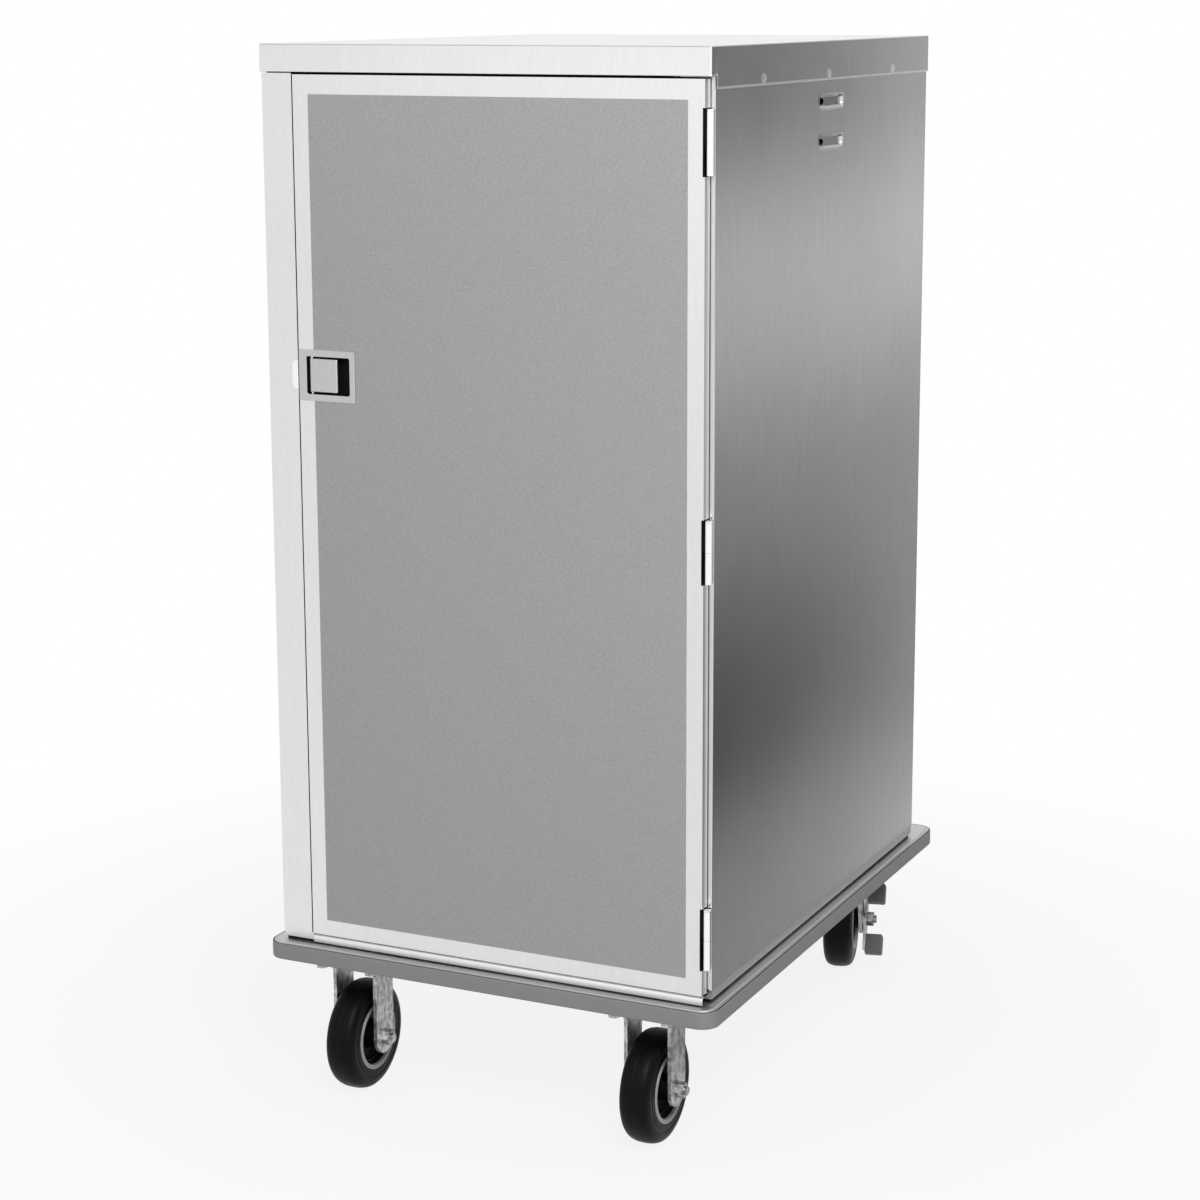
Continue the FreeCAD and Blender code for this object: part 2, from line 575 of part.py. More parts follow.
def make_door():
    back = FRONT + DOOR_THICKNESS
    shell = box(DOOR_LEFT, DOOR_RIGHT, FRONT, back, DOOR_LOW, DOOR_HIGH)
    inner = box(DOOR_LEFT + SHEET, DOOR_RIGHT - SHEET, FRONT + SHEET, back + 1,
                DOOR_LOW + SHEET, DOOR_HIGH - SHEET)
    for z in HINGE_MIDDLES:
        shell = shell.cut(hinge_notch(z, 0))
        inner = inner.cut(hinge_notch(z, SHEET))
    liner = inner.common(box(DOOR_LEFT, DOOR_RIGHT, back - SHEET, back, DOOR_LOW, DOOR_HIGH))
    keep("door_liner", liner)
    x0, x1 = DOOR_LEFT + PANEL_MARGIN_LEFT, DOOR_RIGHT - PANEL_MARGIN_RIGHT
    z0, z1 = DOOR_LOW + PANEL_MARGIN_BOTTOM, DOOR_HIGH - PANEL_MARGIN_TOP
    recess = box(x0, x1, FRONT - 1, FRONT + PANEL_RECESS, z0, z1)
    case_hole = latch_pocket_block(LATCH_WALL + FACE)
    half = BOLT_HEIGHT / 2 + FACE
    bolt_slot = box(DOOR_LEFT - 1, POCKET_LEFT, bolt_front() - FACE, bolt_front() + BOLT_THICKNESS + FACE,
                    LATCH_Z - half, LATCH_Z + half)
    keep("door_shell", shell.cut(inner).cut(recess).cut(case_hole).cut(bolt_slot))
    panel = box(x0, x1, FRONT + PANEL_RECESS - PANEL_THICKNESS, FRONT + PANEL_RECESS, z0, z1)
    keep("decor_panel", panel.cut(latch_bezel_block(1.0, FACE)))
    gx0, gx1 = DOOR_LEFT + 3, DOOR_RIGHT - HINGE_LEAF + HINGE_RADIUS - FACE * 2 - 2
    gz0, gz1 = DOOR_LOW + 4, DOOR_HIGH - 4
    w = GASKET_WIDTH
    gasket = box(gx0, gx1, back, back + GASKET_THICKNESS, gz0, gz1)
    keep("door_gasket", gasket.cut(box(gx0 + w, gx1 - w, back - 1, back + 5, gz0 + w, gz1 - w)))


# ---------------------------------------------------------------- hinges
def make_hinges():
    frame_leaves, door_leaves, pins = [], [], []
    half = HINGE_LENGTH / 2
    for z in HINGE_MIDDLES:
        a, b = V(HINGE_X, HINGE_Y, z - half), V(HINGE_X, HINGE_Y, z - FACE / 2)
        c, d = V(HINGE_X, HINGE_Y, z + FACE / 2), V(HINGE_X, HINGE_Y, z + half - 1.5)
        leaf_y = STOP_Y - HINGE_LEAF_THICKNESS - 0.1
        low = rod(HINGE_RADIUS, a, b)
        low = low.fuse(box(HINGE_X - 1, HINGE_X + 1, HINGE_Y, STOP_Y - 0.1, a.z, b.z))
        low = low.fuse(box(HINGE_X + 1 - HINGE_LEAF, HINGE_X + 1, leaf_y, STOP_Y, a.z, z + half))
        pin = rod(HINGE_PIN_RADIUS, a, V(HINGE_X, HINGE_Y, z + half))
        low = low.cut(pin)
        frame_leaves.append(low.removeSplitter())
        cap = rod(HINGE_RADIUS, V(HINGE_X, HINGE_Y, z + half - 1.5 + FACE), V(HINGE_X, HINGE_Y, z + half))
        pins.append(pin.fuse(cap))
        wall_x = DOOR_RIGHT - HINGE_NOTCH
        high = rod(HINGE_RADIUS, c, d)
        high = high.fuse(box(wall_x, HINGE_X, HINGE_Y - 1, HINGE_Y + 1, c.z, d.z))
        high = high.fuse(box(wall_x, wall_x + 1.8, HINGE_Y - 3, HINGE_Y + 9, c.z, d.z))
        high = high.cut(rod(HINGE_PIN_RADIUS + RUN, c, d))
        door_leaves.append(high.removeSplitter())
    keep("hinge_frame_leaves", *frame_leaves)
    keep("hinge_door_leaves", *door_leaves)
    keep("hinge_pins", *pins)


# ---------------------------------------------------------------- latch
def bolt_front():
    return PIVOT_Y + PADDLE_KNUCKLE + 0.5


def latch_pocket_block(grow):
    half = POCKET_HEIGHT / 2 + grow
    left, right = POCKET_LEFT - grow, POCKET_LEFT + POCKET_WIDTH + grow
    return box(left, right, FRONT - 1, FRONT + POCKET_DEPTH + grow, LATCH_Z - half, LATCH_Z + half)


def latch_bezel_block(thickness, grow):
    half = LATCH_HEIGHT / 2 + grow
    right = DOOR_LEFT + LATCH_WIDTH + grow
    return box(DOOR_LEFT, right, FRONT - thickness, FRONT + 1, LATCH_Z - half, LATCH_Z + half)


def make_latch_case():
    """Bezel, pocket and bolt guides of the latch, with the paddle's pin."""
    before_door = box(-SIDE, SIDE, FRONT - LATCH_BEZEL, FRONT, 0, TOP)
    in_door = box(-SIDE, SIDE, FRONT, REAR, 0, TOP)
    bezel = latch_bezel_block(LATCH_BEZEL, 0).common(before_door)
    case = latch_pocket_block(LATCH_WALL).common(in_door).fuse(bezel)
    pocket_half = POCKET_HEIGHT / 2
    hollow = rounded_box(POCKET_LEFT, POCKET_LEFT + POCKET_WIDTH, FRONT - 5, FRONT + POCKET_DEPTH,
                         LATCH_Z - pocket_half, LATCH_Z + pocket_half, 2.5, V(0, 1, 0))
    case = case.cut(hollow)
    front, back = bolt_front(), bolt_front() + BOLT_THICKNESS
    half = BOLT_HEIGHT / 2
    for side in (-1, 1):
        low = LATCH_Z + side * (half + GUIDE_GAP) - GUIDE_RIB / 2
        right, deep = POCKET_LEFT + BOLT_LENGTH - 8, FRONT + POCKET_DEPTH
        case = case.fuse(box(POCKET_LEFT, right, front + 1, deep, low, low + GUIDE_RIB))
    pivot, reach = V(PIVOT_X, PIVOT_Y, LATCH_Z), V(0, 0, pocket_half + LATCH_WALL)
    pin = rod(PADDLE_PIN_RADIUS, pivot - reach, pivot + reach)
    room = half + FACE
    slot = box(DOOR_LEFT - 1, POCKET_LEFT + 1, front - FACE, back + 0.2, LATCH_Z - room, LATCH_Z + room)
    keep("latch_case", case.cut(slot).cut(pin).removeSplitter())
    keep("latch_pin", pin)


def make_paddle():
    """Finger plate with a rolled lip, its knuckle on the pin and the tab that pulls the bolt."""
    z0, z1 = LATCH_Z - PADDLE_HEIGHT / 2, LATCH_Z + PADDLE_HEIGHT / 2
    face, right, near = FRONT + FACE, PADDLE_LEFT + PADDLE_WIDTH, 0.1
    plate = box(PIVOT_X, right, face, face + PADDLE_THICKNESS, z0, z1)
    boxes = [(e, e.BoundBox) for e in plate.Edges]
    lip = [e for e, b in boxes if b.XMin > right - near and b.YMax < face + near]
    plate = plate.makeFillet(PADDLE_THICKNESS - 0.6, lip)
    boxes = [(e, e.BoundBox) for e in plate.Edges]
    ears = [e for e, b in boxes if b.XMin > right - 3 and b.ZLength < near and b.XLength < near]
    plate = plate.makeFillet(2.0, ears) if ears else plate
    paddle = plate.fuse(rod(PADDLE_KNUCKLE, V(PIVOT_X, PIVOT_Y, z0), V(PIVOT_X, PIVOT_Y, z1)))
    tab_half = TAB_HEIGHT / 2
    tab = box(PIVOT_X - TAB_HALF, PIVOT_X + TAB_HALF, PIVOT_Y, PIVOT_Y + TAB_REACH,
              LATCH_Z - tab_half, LATCH_Z + tab_half)
    bore = rod(PADDLE_PIN_RADIUS + RUN, V(PIVOT_X, PIVOT_Y, z0 - 1), V(PIVOT_X, PIVOT_Y, z1 + 1))
    keep("latch_paddle", paddle.fuse(tab).cut(bore).removeSplitter())


def make_latch_bolt():
    """Flat sliding bolt with a beveled nose and the window that the paddle's tab reaches into."""
    front, back = bolt_front(), bolt_front() + BOLT_THICKNESS
    half, nose = BOLT_HEIGHT / 2, DOOR_LEFT - BOLT_NOSE_OUT
    bolt = box(nose, nose + BOLT_LENGTH, front, back, LATCH_Z - half, LATCH_Z + half)
    corner = [e for e in bolt.Edges if e.BoundBox.XMax < nose + 0.1 and e.BoundBox.YMin > back - 0.1]
    bolt = bolt.makeChamfer(0.9, corner)
    window_half = BOLT_WINDOW_HEIGHT / 2
    window = box(PIVOT_X - BOLT_WINDOW_LEFT, PIVOT_X + TAB_HALF + TAB_PLAY, front - 1, back + 1,
                 LATCH_Z - window_half, LATCH_Z + window_half)
    keep("latch_bolt", bolt.cut(window))


def make_strike():
    """Bright plate wrapped round the jamb's edge, open where the latch bolt enters."""
    edge = -SIDE + JAMB_WIDTH
    low, high = LATCH_Z - STRIKE_HEIGHT / 2, LATCH_Z + STRIKE_HEIGHT / 2
    face, right = FRONT - STRIKE_THICKNESS, edge + STRIKE_LEG
    lip = box(edge - STRIKE_LIP, right, face, FRONT, low, high)
    ends = [e for e in lip.Edges if e.BoundBox.XMax < edge - STRIKE_LIP + 0.1 and e.BoundBox.YLength > 0.5]
    lip = lip.makeFillet(STRIKE_LIP * 0.8, ends)
    leg = box(edge, right, face, FRONT + DOOR_THICKNESS - 1, low, high)
    room = BOLT_HEIGHT / 2 + BOLT_SLOT_ROOM
    window = box(edge - 1, edge + 2, FRONT + 6, FRONT + 14.5, LATCH_Z - room, LATCH_Z + room)
    keep("strike_plate", lip.fuse(leg).cut(window).removeSplitter())


# ---------------------------------------------------------------- casters
def plate_bolt_shanks(x, y):
    low, high = V(0, 0, PLATE_LOW - 10), V(0, 0, CASTER_HEIGHT + 20)
    spots = [V(x + i * PLATE_BOLT_X, y + j * PLATE_BOLT_Y, 0) for i in (-1, 1) for j in (-1, 1)]
    return [rod(PLATE_BOLT_RADIUS, s + low, s + high) for s in spots]


def make_plate_bolts():
    bolts = []
    for x in (-CASTER_X, CASTER_X):
        for y in (CASTER_FRONT_Y, CASTER_REAR_Y):
            for i in (-1, 1):
                for j in (-1, 1):
                    spot = V(x + i * PLATE_BOLT_X, y + j * PLATE_BOLT_Y, 0)
                    low = spot + V(0, 0, PLATE_LOW)
                    nut = spot + V(0, 0, CASTER_HEIGHT + CHANNEL_SHEET)
                    bolt = rod(PLATE_BOLT_RADIUS, low, nut + V(0, 0, PLATE_NUT + 2))
                    head = low - V(0, 0, PLATE_BOLT_HEAD)
                    bolt = bolt.fuse(hexagon(PLATE_BOLT_FLATS, PLATE_BOLT_HEAD, head, UP))
                    bolts.append(bolt.fuse(hexagon(PLATE_BOLT_FLATS, PLATE_NUT, nut, UP)))
    keep("caster_plate_bolts", *bolts)


def caster_plate(x, y):
    wide, long = PLATE_WIDTH / 2, PLATE_LENGTH / 2
    plate = rounded_box(x - wide, x + wide, y - long, y + long, PLATE_LOW, CASTER_HEIGHT, PLATE_CORNER, UP)
    return plate.cut(Part.makeCompound(plate_bolt_shanks(x, y)))


def wheel_parts(centre, along):
    """Tyre, hub and bearing sleeve turned about the axle line."""
    def turned(points):
        """Half profile of (distance along, radius) pairs spun about the axle."""
        flat = [V(u, 0, r) for u, r in points]
        face = Part.Face(Part.makePolygon(flat + flat[:1]))
        return face.revolve(V(0, 0, 0), V(1, 0, 0), 360)

    radius, half, bead = WHEEL_DIAMETER / 2, TYRE_WIDTH / 2, TYRE_BEAD
    side, flat = radius - TYRE_SHOULDER, half - TYRE_SHOULDER
    halfway = TYRE_SHOULDER * (1 - math.cos(math.radians(45)))
    arc_r = Part.Arc(V(half, 0, side), V(half - halfway, 0, radius - halfway), V(flat, 0, radius)).toShape()
    tread = Part.makeLine(V(flat, 0, radius), V(-flat, 0, radius))
    arc_l = Part.Arc(V(-flat, 0, radius), V(halfway - half, 0, radius - halfway), V(-half, 0, side)).toShape()
    wall_l = Part.makeLine(V(-half, 0, side), V(-half, 0, bead))
    seat = Part.makeLine(V(-half, 0, bead), V(half, 0, bead))
    wall_r = Part.makeLine(V(half, 0, bead), V(half, 0, side))
    face = Part.Face(Part.Wire([arc_r, tread, arc_l, wall_l, seat, wall_r]))
    tyre = face.revolve(V(0, 0, 0), V(1, 0, 0), 360)

    rim, web, boss = HUB_WIDTH / 2, HUB_WEB / 2, LEG_IN - 0.6
    dish = [(boss, BEARING_RADIUS), (boss, HUB_BOSS), (web, HUB_BOSS + 3), (web, bead - 15),
            (web + 6, bead - 11), (web + 6, bead - 9), (rim - 4, bead - 6), (rim, bead - 5),
            (rim, bead - 1), (half, bead)]
    hub = turned(dish + [(-u, r) for u, r in dish[::-1]])
    sleeve = turned([(boss + 0.3, AXLE_RADIUS + RUN), (boss + 0.3, BEARING_RADIUS),
                     (-boss - 0.3, BEARING_RADIUS), (-boss - 0.3, AXLE_RADIUS + RUN)])
    turn = FreeCAD.Rotation(V(1, 0, 0), along)
    placed = FreeCAD.Placement(centre, turn)
    return [s.transformed(placed.toMatrix()) for s in (tyre, hub, sleeve)]


def axle_parts(centre, along, outer):
    """Axle bolt with its head on the inner side, and the nut that stops on the face at distance outer."""
    head = centre - along * (LEG_OUT + HEAD_THICKNESS)
    bolt = rod(AXLE_RADIUS, head, centre + along * (outer + NUT_THICKNESS + 4))
    bolt = bolt.fuse(hexagon(NUT_FLATS, HEAD_THICKNESS, head, along))
    nut = hexagon(NUT_FLATS, NUT_THICKNESS, centre + along * outer, along)
    nut = nut.cut(rod(AXLE_RADIUS, centre, centre + along * (outer + 30)))
    return bolt, nut


def leg_outline(top_y0, top_y1, top_z, axle_y, radius):
    """Fork leg seen from the side: straight edges down to a round end about the axle."""
    def tangent(px, pz, side):
        """Point where the edge from (px, pz) touches the round end."""
        dy, dz = px - axle_y, pz - AXLE_Z
        reach = math.hypot(dy, dz)
        turn = math.atan2(dz, dy) + side * math.acos(radius / reach)
        return V(0, axle_y + radius * math.cos(turn), AXLE_Z + radius * math.sin(turn))

    left, right = tangent(top_y0, top_z, 1), tangent(top_y1, top_z, -1)
    end = Part.Arc(right, V(0, axle_y, AXLE_Z - radius), left).toShape()
    top_left, top_right = V(0, top_y0, top_z), V(0, top_y1, top_z)
    corners = [left, top_left, top_right, right]
    sides = [Part.makeLine(corners[i], corners[i + 1]) for i in range(3)]
    return Part.Face(Part.Wire(sides + [end]))


def fork_legs(top_y0, top_y1, top_z, axle_y):
    """Both legs of a fork, about x = 0, with the axle holes."""
    face = leg_outline(top_y0, top_y1, top_z, axle_y, LEG_WIDTH / 2)
    right = face.extrude(V(LEG_THICKNESS, 0, 0))
    right.translate(V(LEG_IN, 0, 0))
    left = mirrored(right)
    hole = rod(AXLE_RADIUS, V(-LEG_OUT - 1, axle_y, AXLE_Z), V(LEG_OUT + 1, axle_y, AXLE_Z))
    return right.cut(hole), left.cut(hole)


def make_front_casters():
    axles = []
    for name, x in (("left", -CASTER_X), ("right", CASTER_X)):
        y = CASTER_FRONT_Y
        half = LEG_WIDTH / 2
        right, left = fork_legs(-half, half, PLATE_LOW, 0)
        wide, foot = half + GUSSET_WIDTH, PLATE_LOW - GUSSET_HEIGHT
        gusset = [V(0, -half, foot), V(0, -wide, PLATE_LOW), V(0, wide, PLATE_LOW), V(0, half, foot)]
        flare = prism(gusset, V(LEG_THICKNESS, 0, 0))
        flare.translate(V(LEG_IN, 0, 0))
        fork = right.fuse([left, flare, mirrored(flare)])
        fork.translate(V(x, y, 0))
        keep("front_fork_" + name, fork.fuse(caster_plate(x, y)).removeSplitter())
        centre, along = V(x, y, AXLE_Z), V(1, 0, 0)
        tyre, hub, sleeve = wheel_parts(centre, along)
        keep("front_tyre_" + name, tyre)
        keep("front_hub_" + name, hub)
        keep("front_bearing_" + name, sleeve)
        axles += axle_parts(centre, along, LEG_OUT)
    keep("front_axles", *axles)


def swivel_plate(x, y):
    """Top plate of a swivel caster with its upper race ring and the kingpin."""
    middle = V(x, y, 0)
    ring_low = CROWN_TOP + RACE_GAP
    race = tube(RACE_OUT, RACE_IN, middle + V(0, 0, ring_low), middle + V(0, 0, PLATE_LOW))
    plate = caster_plate(x, y).fuse(race)
    top = middle + V(0, 0, CASTER_HEIGHT)
    under = CROWN_TOP - CROWN_THICKNESS - FACE
    pin = rod(KINGPIN_RADIUS, middle + V(0, 0, under - NUT_THICKNESS - 2), top)
    pin = pin.fuse(rod(KINGPIN_HEAD_RADIUS, top - V(0, 0, KINGPIN_HEAD), top))
    nut = hexagon(KINGPIN_FLATS, NUT_THICKNESS, middle + V(0, 0, under - NUT_THICKNESS), UP)
    foot, head = middle + V(0, 0, CROWN_TOP + FACE), middle + V(0, 0, PLATE_LOW)
    collar = tube(KINGPIN_COLLAR_RADIUS, KINGPIN_RADIUS, foot, head)
    plate = plate.fuse(collar).cut(pin)
    return plate.removeSplitter(), pin.fuse(nut)


def brake_rocker():
    """Double-ended foot pedal and its pads, about the axle at x = 0, turned to its rest angle."""
    x0 = LEG_OUT + CAM_THICKNESS + FACE
    x1 = x0 + PEDAL_THICKNESS
    hub = rod(CAM_RADIUS, V(x0, 0, 0), V(x1, 0, 0))
    half = PEDAL_WIDTH / 2
    rocker = rounded_box(x0, x1, -PEDAL_REACH - 9, PEDAL_REACH + 9, -half, half, 6.0, V(1, 0, 0)).fuse(hub)
    pads = []
    for side in (-1, 1):
        y = side * PEDAL_REACH
        tongue = box(x1 - 1, x1 + PAD_OUT - 4, y - 6, y + 6, -1.5, 1.5)
        rocker = rocker.fuse(tongue)
        pad = box(x1, x1 + PAD_OUT, y - PAD_ALONG / 2, y + PAD_ALONG / 2, -PAD_ACROSS / 2, PAD_ACROSS / 2)
        outer = [e for e in pad.Edges if abs(e.tangentAt(e.FirstParameter).x) > 0.9]
        outer += [e for e in pad.Edges if e.BoundBox.XMin > x1 + PAD_OUT - 0.1]
        pads.append(pad.makeFillet(3.0, outer).cut(tongue))
    rocker = rocker.cut(rod(AXLE_RADIUS + RUN, V(x0 - 1, 0, 0), V(x1 + 1, 0, 0)))
    cam = tube(CAM_RADIUS, AXLE_RADIUS, V(LEG_OUT, 0, 0), V(LEG_OUT + CAM_THICKNESS, 0, 0))
    lift = FreeCAD.Placement(V(0, TRAIL, AXLE_Z), FreeCAD.Rotation(V(1, 0, 0), PEDAL_ANGLE))
    return [s.transformed(lift.toMatrix()) for s in (rocker.removeSplitter(), *pads, cam)]


def make_rear_casters():
    pins = []
    for name, x in (("left", -CASTER_X), ("right", CASTER_X)):
        y = CASTER_REAR_Y
        plate, pin = swivel_plate(x, y)
        keep("rear_plate_" + name, plate)
        pins.append(pin)
        place = FreeCAD.Placement(V(x, y, 0), FreeCAD.Rotation(UP, SWIVEL_REST)).toMatrix()

        low = CROWN_TOP - CROWN_THICKNESS
        crown = rod(CROWN_RADIUS, V(0, 0, low), V(0, 0, CROWN_TOP))
        crown = crown.fuse(box(-LEG_OUT, LEG_OUT, -YOKE_FRONT, YOKE_BACK, low, CROWN_TOP))
        right, left = fork_legs(-YOKE_FRONT, YOKE_BACK, CROWN_TOP, TRAIL)
        rocker, pad_a, pad_b, cam = brake_rocker()
        yoke = crown.fuse([right, left, cam])
        bore = rod(KINGPIN_RADIUS + RUN, V(0, 0, low - 1), V(0, 0, CROWN_TOP + 1))
        yoke = yoke.cut(bore).removeSplitter()
        race_top = V(0, 0, CROWN_TOP + RACE_GAP - FACE)
        race = tube(RACE_OUT - 1, RACE_IN + 1, V(0, 0, CROWN_TOP), race_top)
        centre, along = V(0, TRAIL, AXLE_Z), V(1, 0, 0)
        bolt, nut = axle_parts(centre, along, LEG_OUT + CAM_THICKNESS + PEDAL_THICKNESS + 2 * FACE)
        tyre, hub, sleeve = wheel_parts(centre, along)
        for node, solids in (("rear_yoke_", [yoke]), ("rear_race_", [race]), ("rear_axle_", [bolt, nut]),
                             ("rear_tyre_", [tyre]), ("rear_hub_", [hub]), ("rear_bearing_", [sleeve]),
                             ("brake_rocker_", [rocker]), ("brake_pads_", [pad_a, pad_b])):
            keep(node + name, *[s.transformed(place) for s in solids])
    keep("rear_kingpins", *pins)


# ---------------------------------------------------------------- build and write
def main():
    make_platform()
    make_base_channels()
    make_bumper()
    make_body_frame()
    make_door_sill()
    make_panels()
    make_cap()
    make_frame_posts()
    make_racks()
    make_handle()
    make_door()
    make_hinges()
    make_latch_case()
    make_paddle()
    make_latch_bolt()
    make_strike()
    make_plate_bolts()
    make_front_casters()
    make_rear_casters()
    os.makedirs("parts", exist_ok=True)
    for name, solids in NODES.items():
        shape = solids[0] if len(solids) == 1 else Part.makeCompound(solids)
        shape.exportStep("parts/" + name + ".step")
        good = all(s.isValid() and s.Volume > 0 for s in shape.Solids)
        size = f"{len(shape.Solids)} solids, {shape.Volume / 1000:9.2f} cm3"
        print(f"{name:22s} {size}", "" if good else "INVALID")


main()
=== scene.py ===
# %% [markdown]
# # Enclosed meal tray cart
# A steel cabinet on casters that carries meal trays, closed by one door hinged on its right. The packed
# CAD model is the skeleton. This script paints its pieces, builds finer surfaces for the ones that the eye
# rests on, and lights the cart as in the photograph: a pale studio, the camera a little above the cap,
# looking at the door and the hinge side. Lengths are metres, +Z is up and the door faces -Y.

# %% Imports and the frame
import bpy
import json
import math
import numpy as np
from mathutils import Matrix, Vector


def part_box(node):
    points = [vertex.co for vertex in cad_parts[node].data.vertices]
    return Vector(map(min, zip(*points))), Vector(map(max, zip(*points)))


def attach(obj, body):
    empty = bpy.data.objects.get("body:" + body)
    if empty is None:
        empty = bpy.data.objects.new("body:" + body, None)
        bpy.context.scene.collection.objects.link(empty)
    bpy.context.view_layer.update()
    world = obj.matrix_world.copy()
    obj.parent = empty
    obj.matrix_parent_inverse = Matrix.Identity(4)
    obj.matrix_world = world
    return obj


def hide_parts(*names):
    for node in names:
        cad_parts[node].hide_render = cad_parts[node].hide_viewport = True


MM = 0.001
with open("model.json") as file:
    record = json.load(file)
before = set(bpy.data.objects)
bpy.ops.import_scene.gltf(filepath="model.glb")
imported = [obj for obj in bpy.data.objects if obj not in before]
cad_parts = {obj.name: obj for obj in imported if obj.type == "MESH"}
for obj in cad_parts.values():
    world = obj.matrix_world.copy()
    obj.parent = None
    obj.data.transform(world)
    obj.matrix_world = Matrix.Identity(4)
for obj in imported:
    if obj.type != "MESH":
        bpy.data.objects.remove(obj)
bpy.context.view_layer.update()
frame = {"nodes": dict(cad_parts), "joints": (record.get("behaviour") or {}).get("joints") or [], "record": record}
scene = bpy.context.scene
scene.view_settings.view_transform = "Standard"

# %% [markdown]
# ## Camera
# The camera stands where the photographer stood: its place comes from fitting the cart's corners to the
# picture. The photograph is a crop from a level camera, so its uprights stay parallel. A large lens shift
# would do the same, but it moves the cart in every other view too. So this camera tilts down and keeps
# only a little shift, which leaves the cart whole from all sides.

# %% Camera
PLACE, YAW, PITCH, ROLL = (1.6216, -3.4805, 1.4981), 0.4437, -0.1961, 0.0035
LENS_MM, SENSOR_MM, SHIFT = 81.88, 36, -0.055
camera = bpy.data.objects.new("camera", bpy.data.cameras.new("camera"))
scene.collection.objects.link(camera)
scene.camera = camera
camera.matrix_world = (Matrix.Translation(PLACE) @ Matrix.Rotation(YAW, 4, "Z")
                       @ Matrix.Rotation(math.pi / 2 + PITCH, 4, "X") @ Matrix.Rotation(-ROLL, 4, "Z"))
camera.data.lens = LENS_MM
camera.data.sensor_width = SENSOR_MM
camera.data.shift_y = SHIFT
camera.data.clip_end = 50
print("camera", [round(v, 3) for v in camera.location], "lens", camera.data.lens)

# %% [markdown]
# ## Small node helpers
# A shader can be wired by hand in the editor, but this one repeats the same few steps many times: add a
# node and set its sockets, do a sum, map one range to another. As functions, each returns the socket that
# the next step needs, so the effects further down read like formulas.

# %% Node helpers
def node(tree, kind, values=None, **links):
    """Adds a shader node, sets sockets by name or number from values, and links the named inputs."""
    made = tree.nodes.new("ShaderNode" + kind)
    for key, value in (values or {}).items():
        if isinstance(key, str) and hasattr(made, key):
            setattr(made, key, value)
        else:
            made.inputs[key].default_value = value
    for key, source in links.items():
        tree.links.new(source, made.inputs[key.replace("_", " ")])
    return made


def maths(tree, operation, a, b=0.0):
    """One sum of two numbers or sockets."""
    made = node(tree, "Math", {"operation": operation})
    for i, value in enumerate((a, b)):
        if isinstance(value, (int, float)):
            made.inputs[i].default_value = value
        else:
            tree.links.new(value, made.inputs[i])
    return made.outputs[0]


def spread(tree, value, low, high, out_low=0.0, out_high=1.0):
    """Maps the range low to high of a value to another range, clamped at its ends."""
    made = node(tree, "MapRange", {1: low, 2: high, 3: out_low, 4: out_high}, Value=value)
    return made.outputs[0]


# %% Noise helpers
def noise(tree, vector, scale, detail=3.0, rough=0.55):
    """Cloudy noise between 0 and 1, with scale as its number of cells to the metre."""
    made = node(tree, "TexNoise", {"Scale": scale, "Detail": detail, "Roughness": rough}, Vector=vector)
    return made.outputs["Fac"]


def stretched(tree, vector, x, y, z):
    """Coordinates times (x, y, z): noise on them is drawn out along the axis with the least number."""
    made = node(tree, "VectorMath", {"operation": "MULTIPLY", 1: (x, y, z)})
    tree.links.new(vector, made.inputs[0])
    return made.outputs[0]


# %% [markdown]
# ## Shared surface effects
# Steel, laminate, zinc and rubber have different patterns, but each pattern steers the same three things:
# how light the colour is, how glossy the surface is, and its fine relief. The nodes could be copied into
# every material, but a change would then have to be made in each. So each effect is one node group that
# puts out Tone, Gloss and Height, and every material places it with its own numbers.

# %% An empty effect
def new_group(name, numbers):
    """Empty node group: inputs Vector and numbers with defaults, outputs Tone, Gloss and Height."""
    group = bpy.data.node_groups.new(name, "ShaderNodeTree")
    group.interface.new_socket("Vector", in_out="INPUT", socket_type="NodeSocketVector")
    for key, value in numbers.items():
        socket = group.interface.new_socket(key, in_out="INPUT", socket_type="NodeSocketFloat")
        socket.default_value = value
    for key in ("Tone", "Gloss", "Height"):
        group.interface.new_socket(key, in_out="OUTPUT", socket_type="NodeSocketFloat")
    inside = group.nodes.new("NodeGroupInput")
    outside = group.nodes.new("NodeGroupOutput")
    return group, inside, outside


# %% [markdown]
# ## Material maker
# The photograph is black and white, so every colour here is a neutral grey. A material is always the same
# short chain: Object coordinates go into one effect, Tone mixes a darker and a lighter grey, Gloss swings
# the roughness and Height feeds a bump. Object coordinates hold the pattern still on its piece in every
# view and pose, and what is the same all over, such as Metallic, is set on the shader itself.

# %% Material maker
PAINT = {}


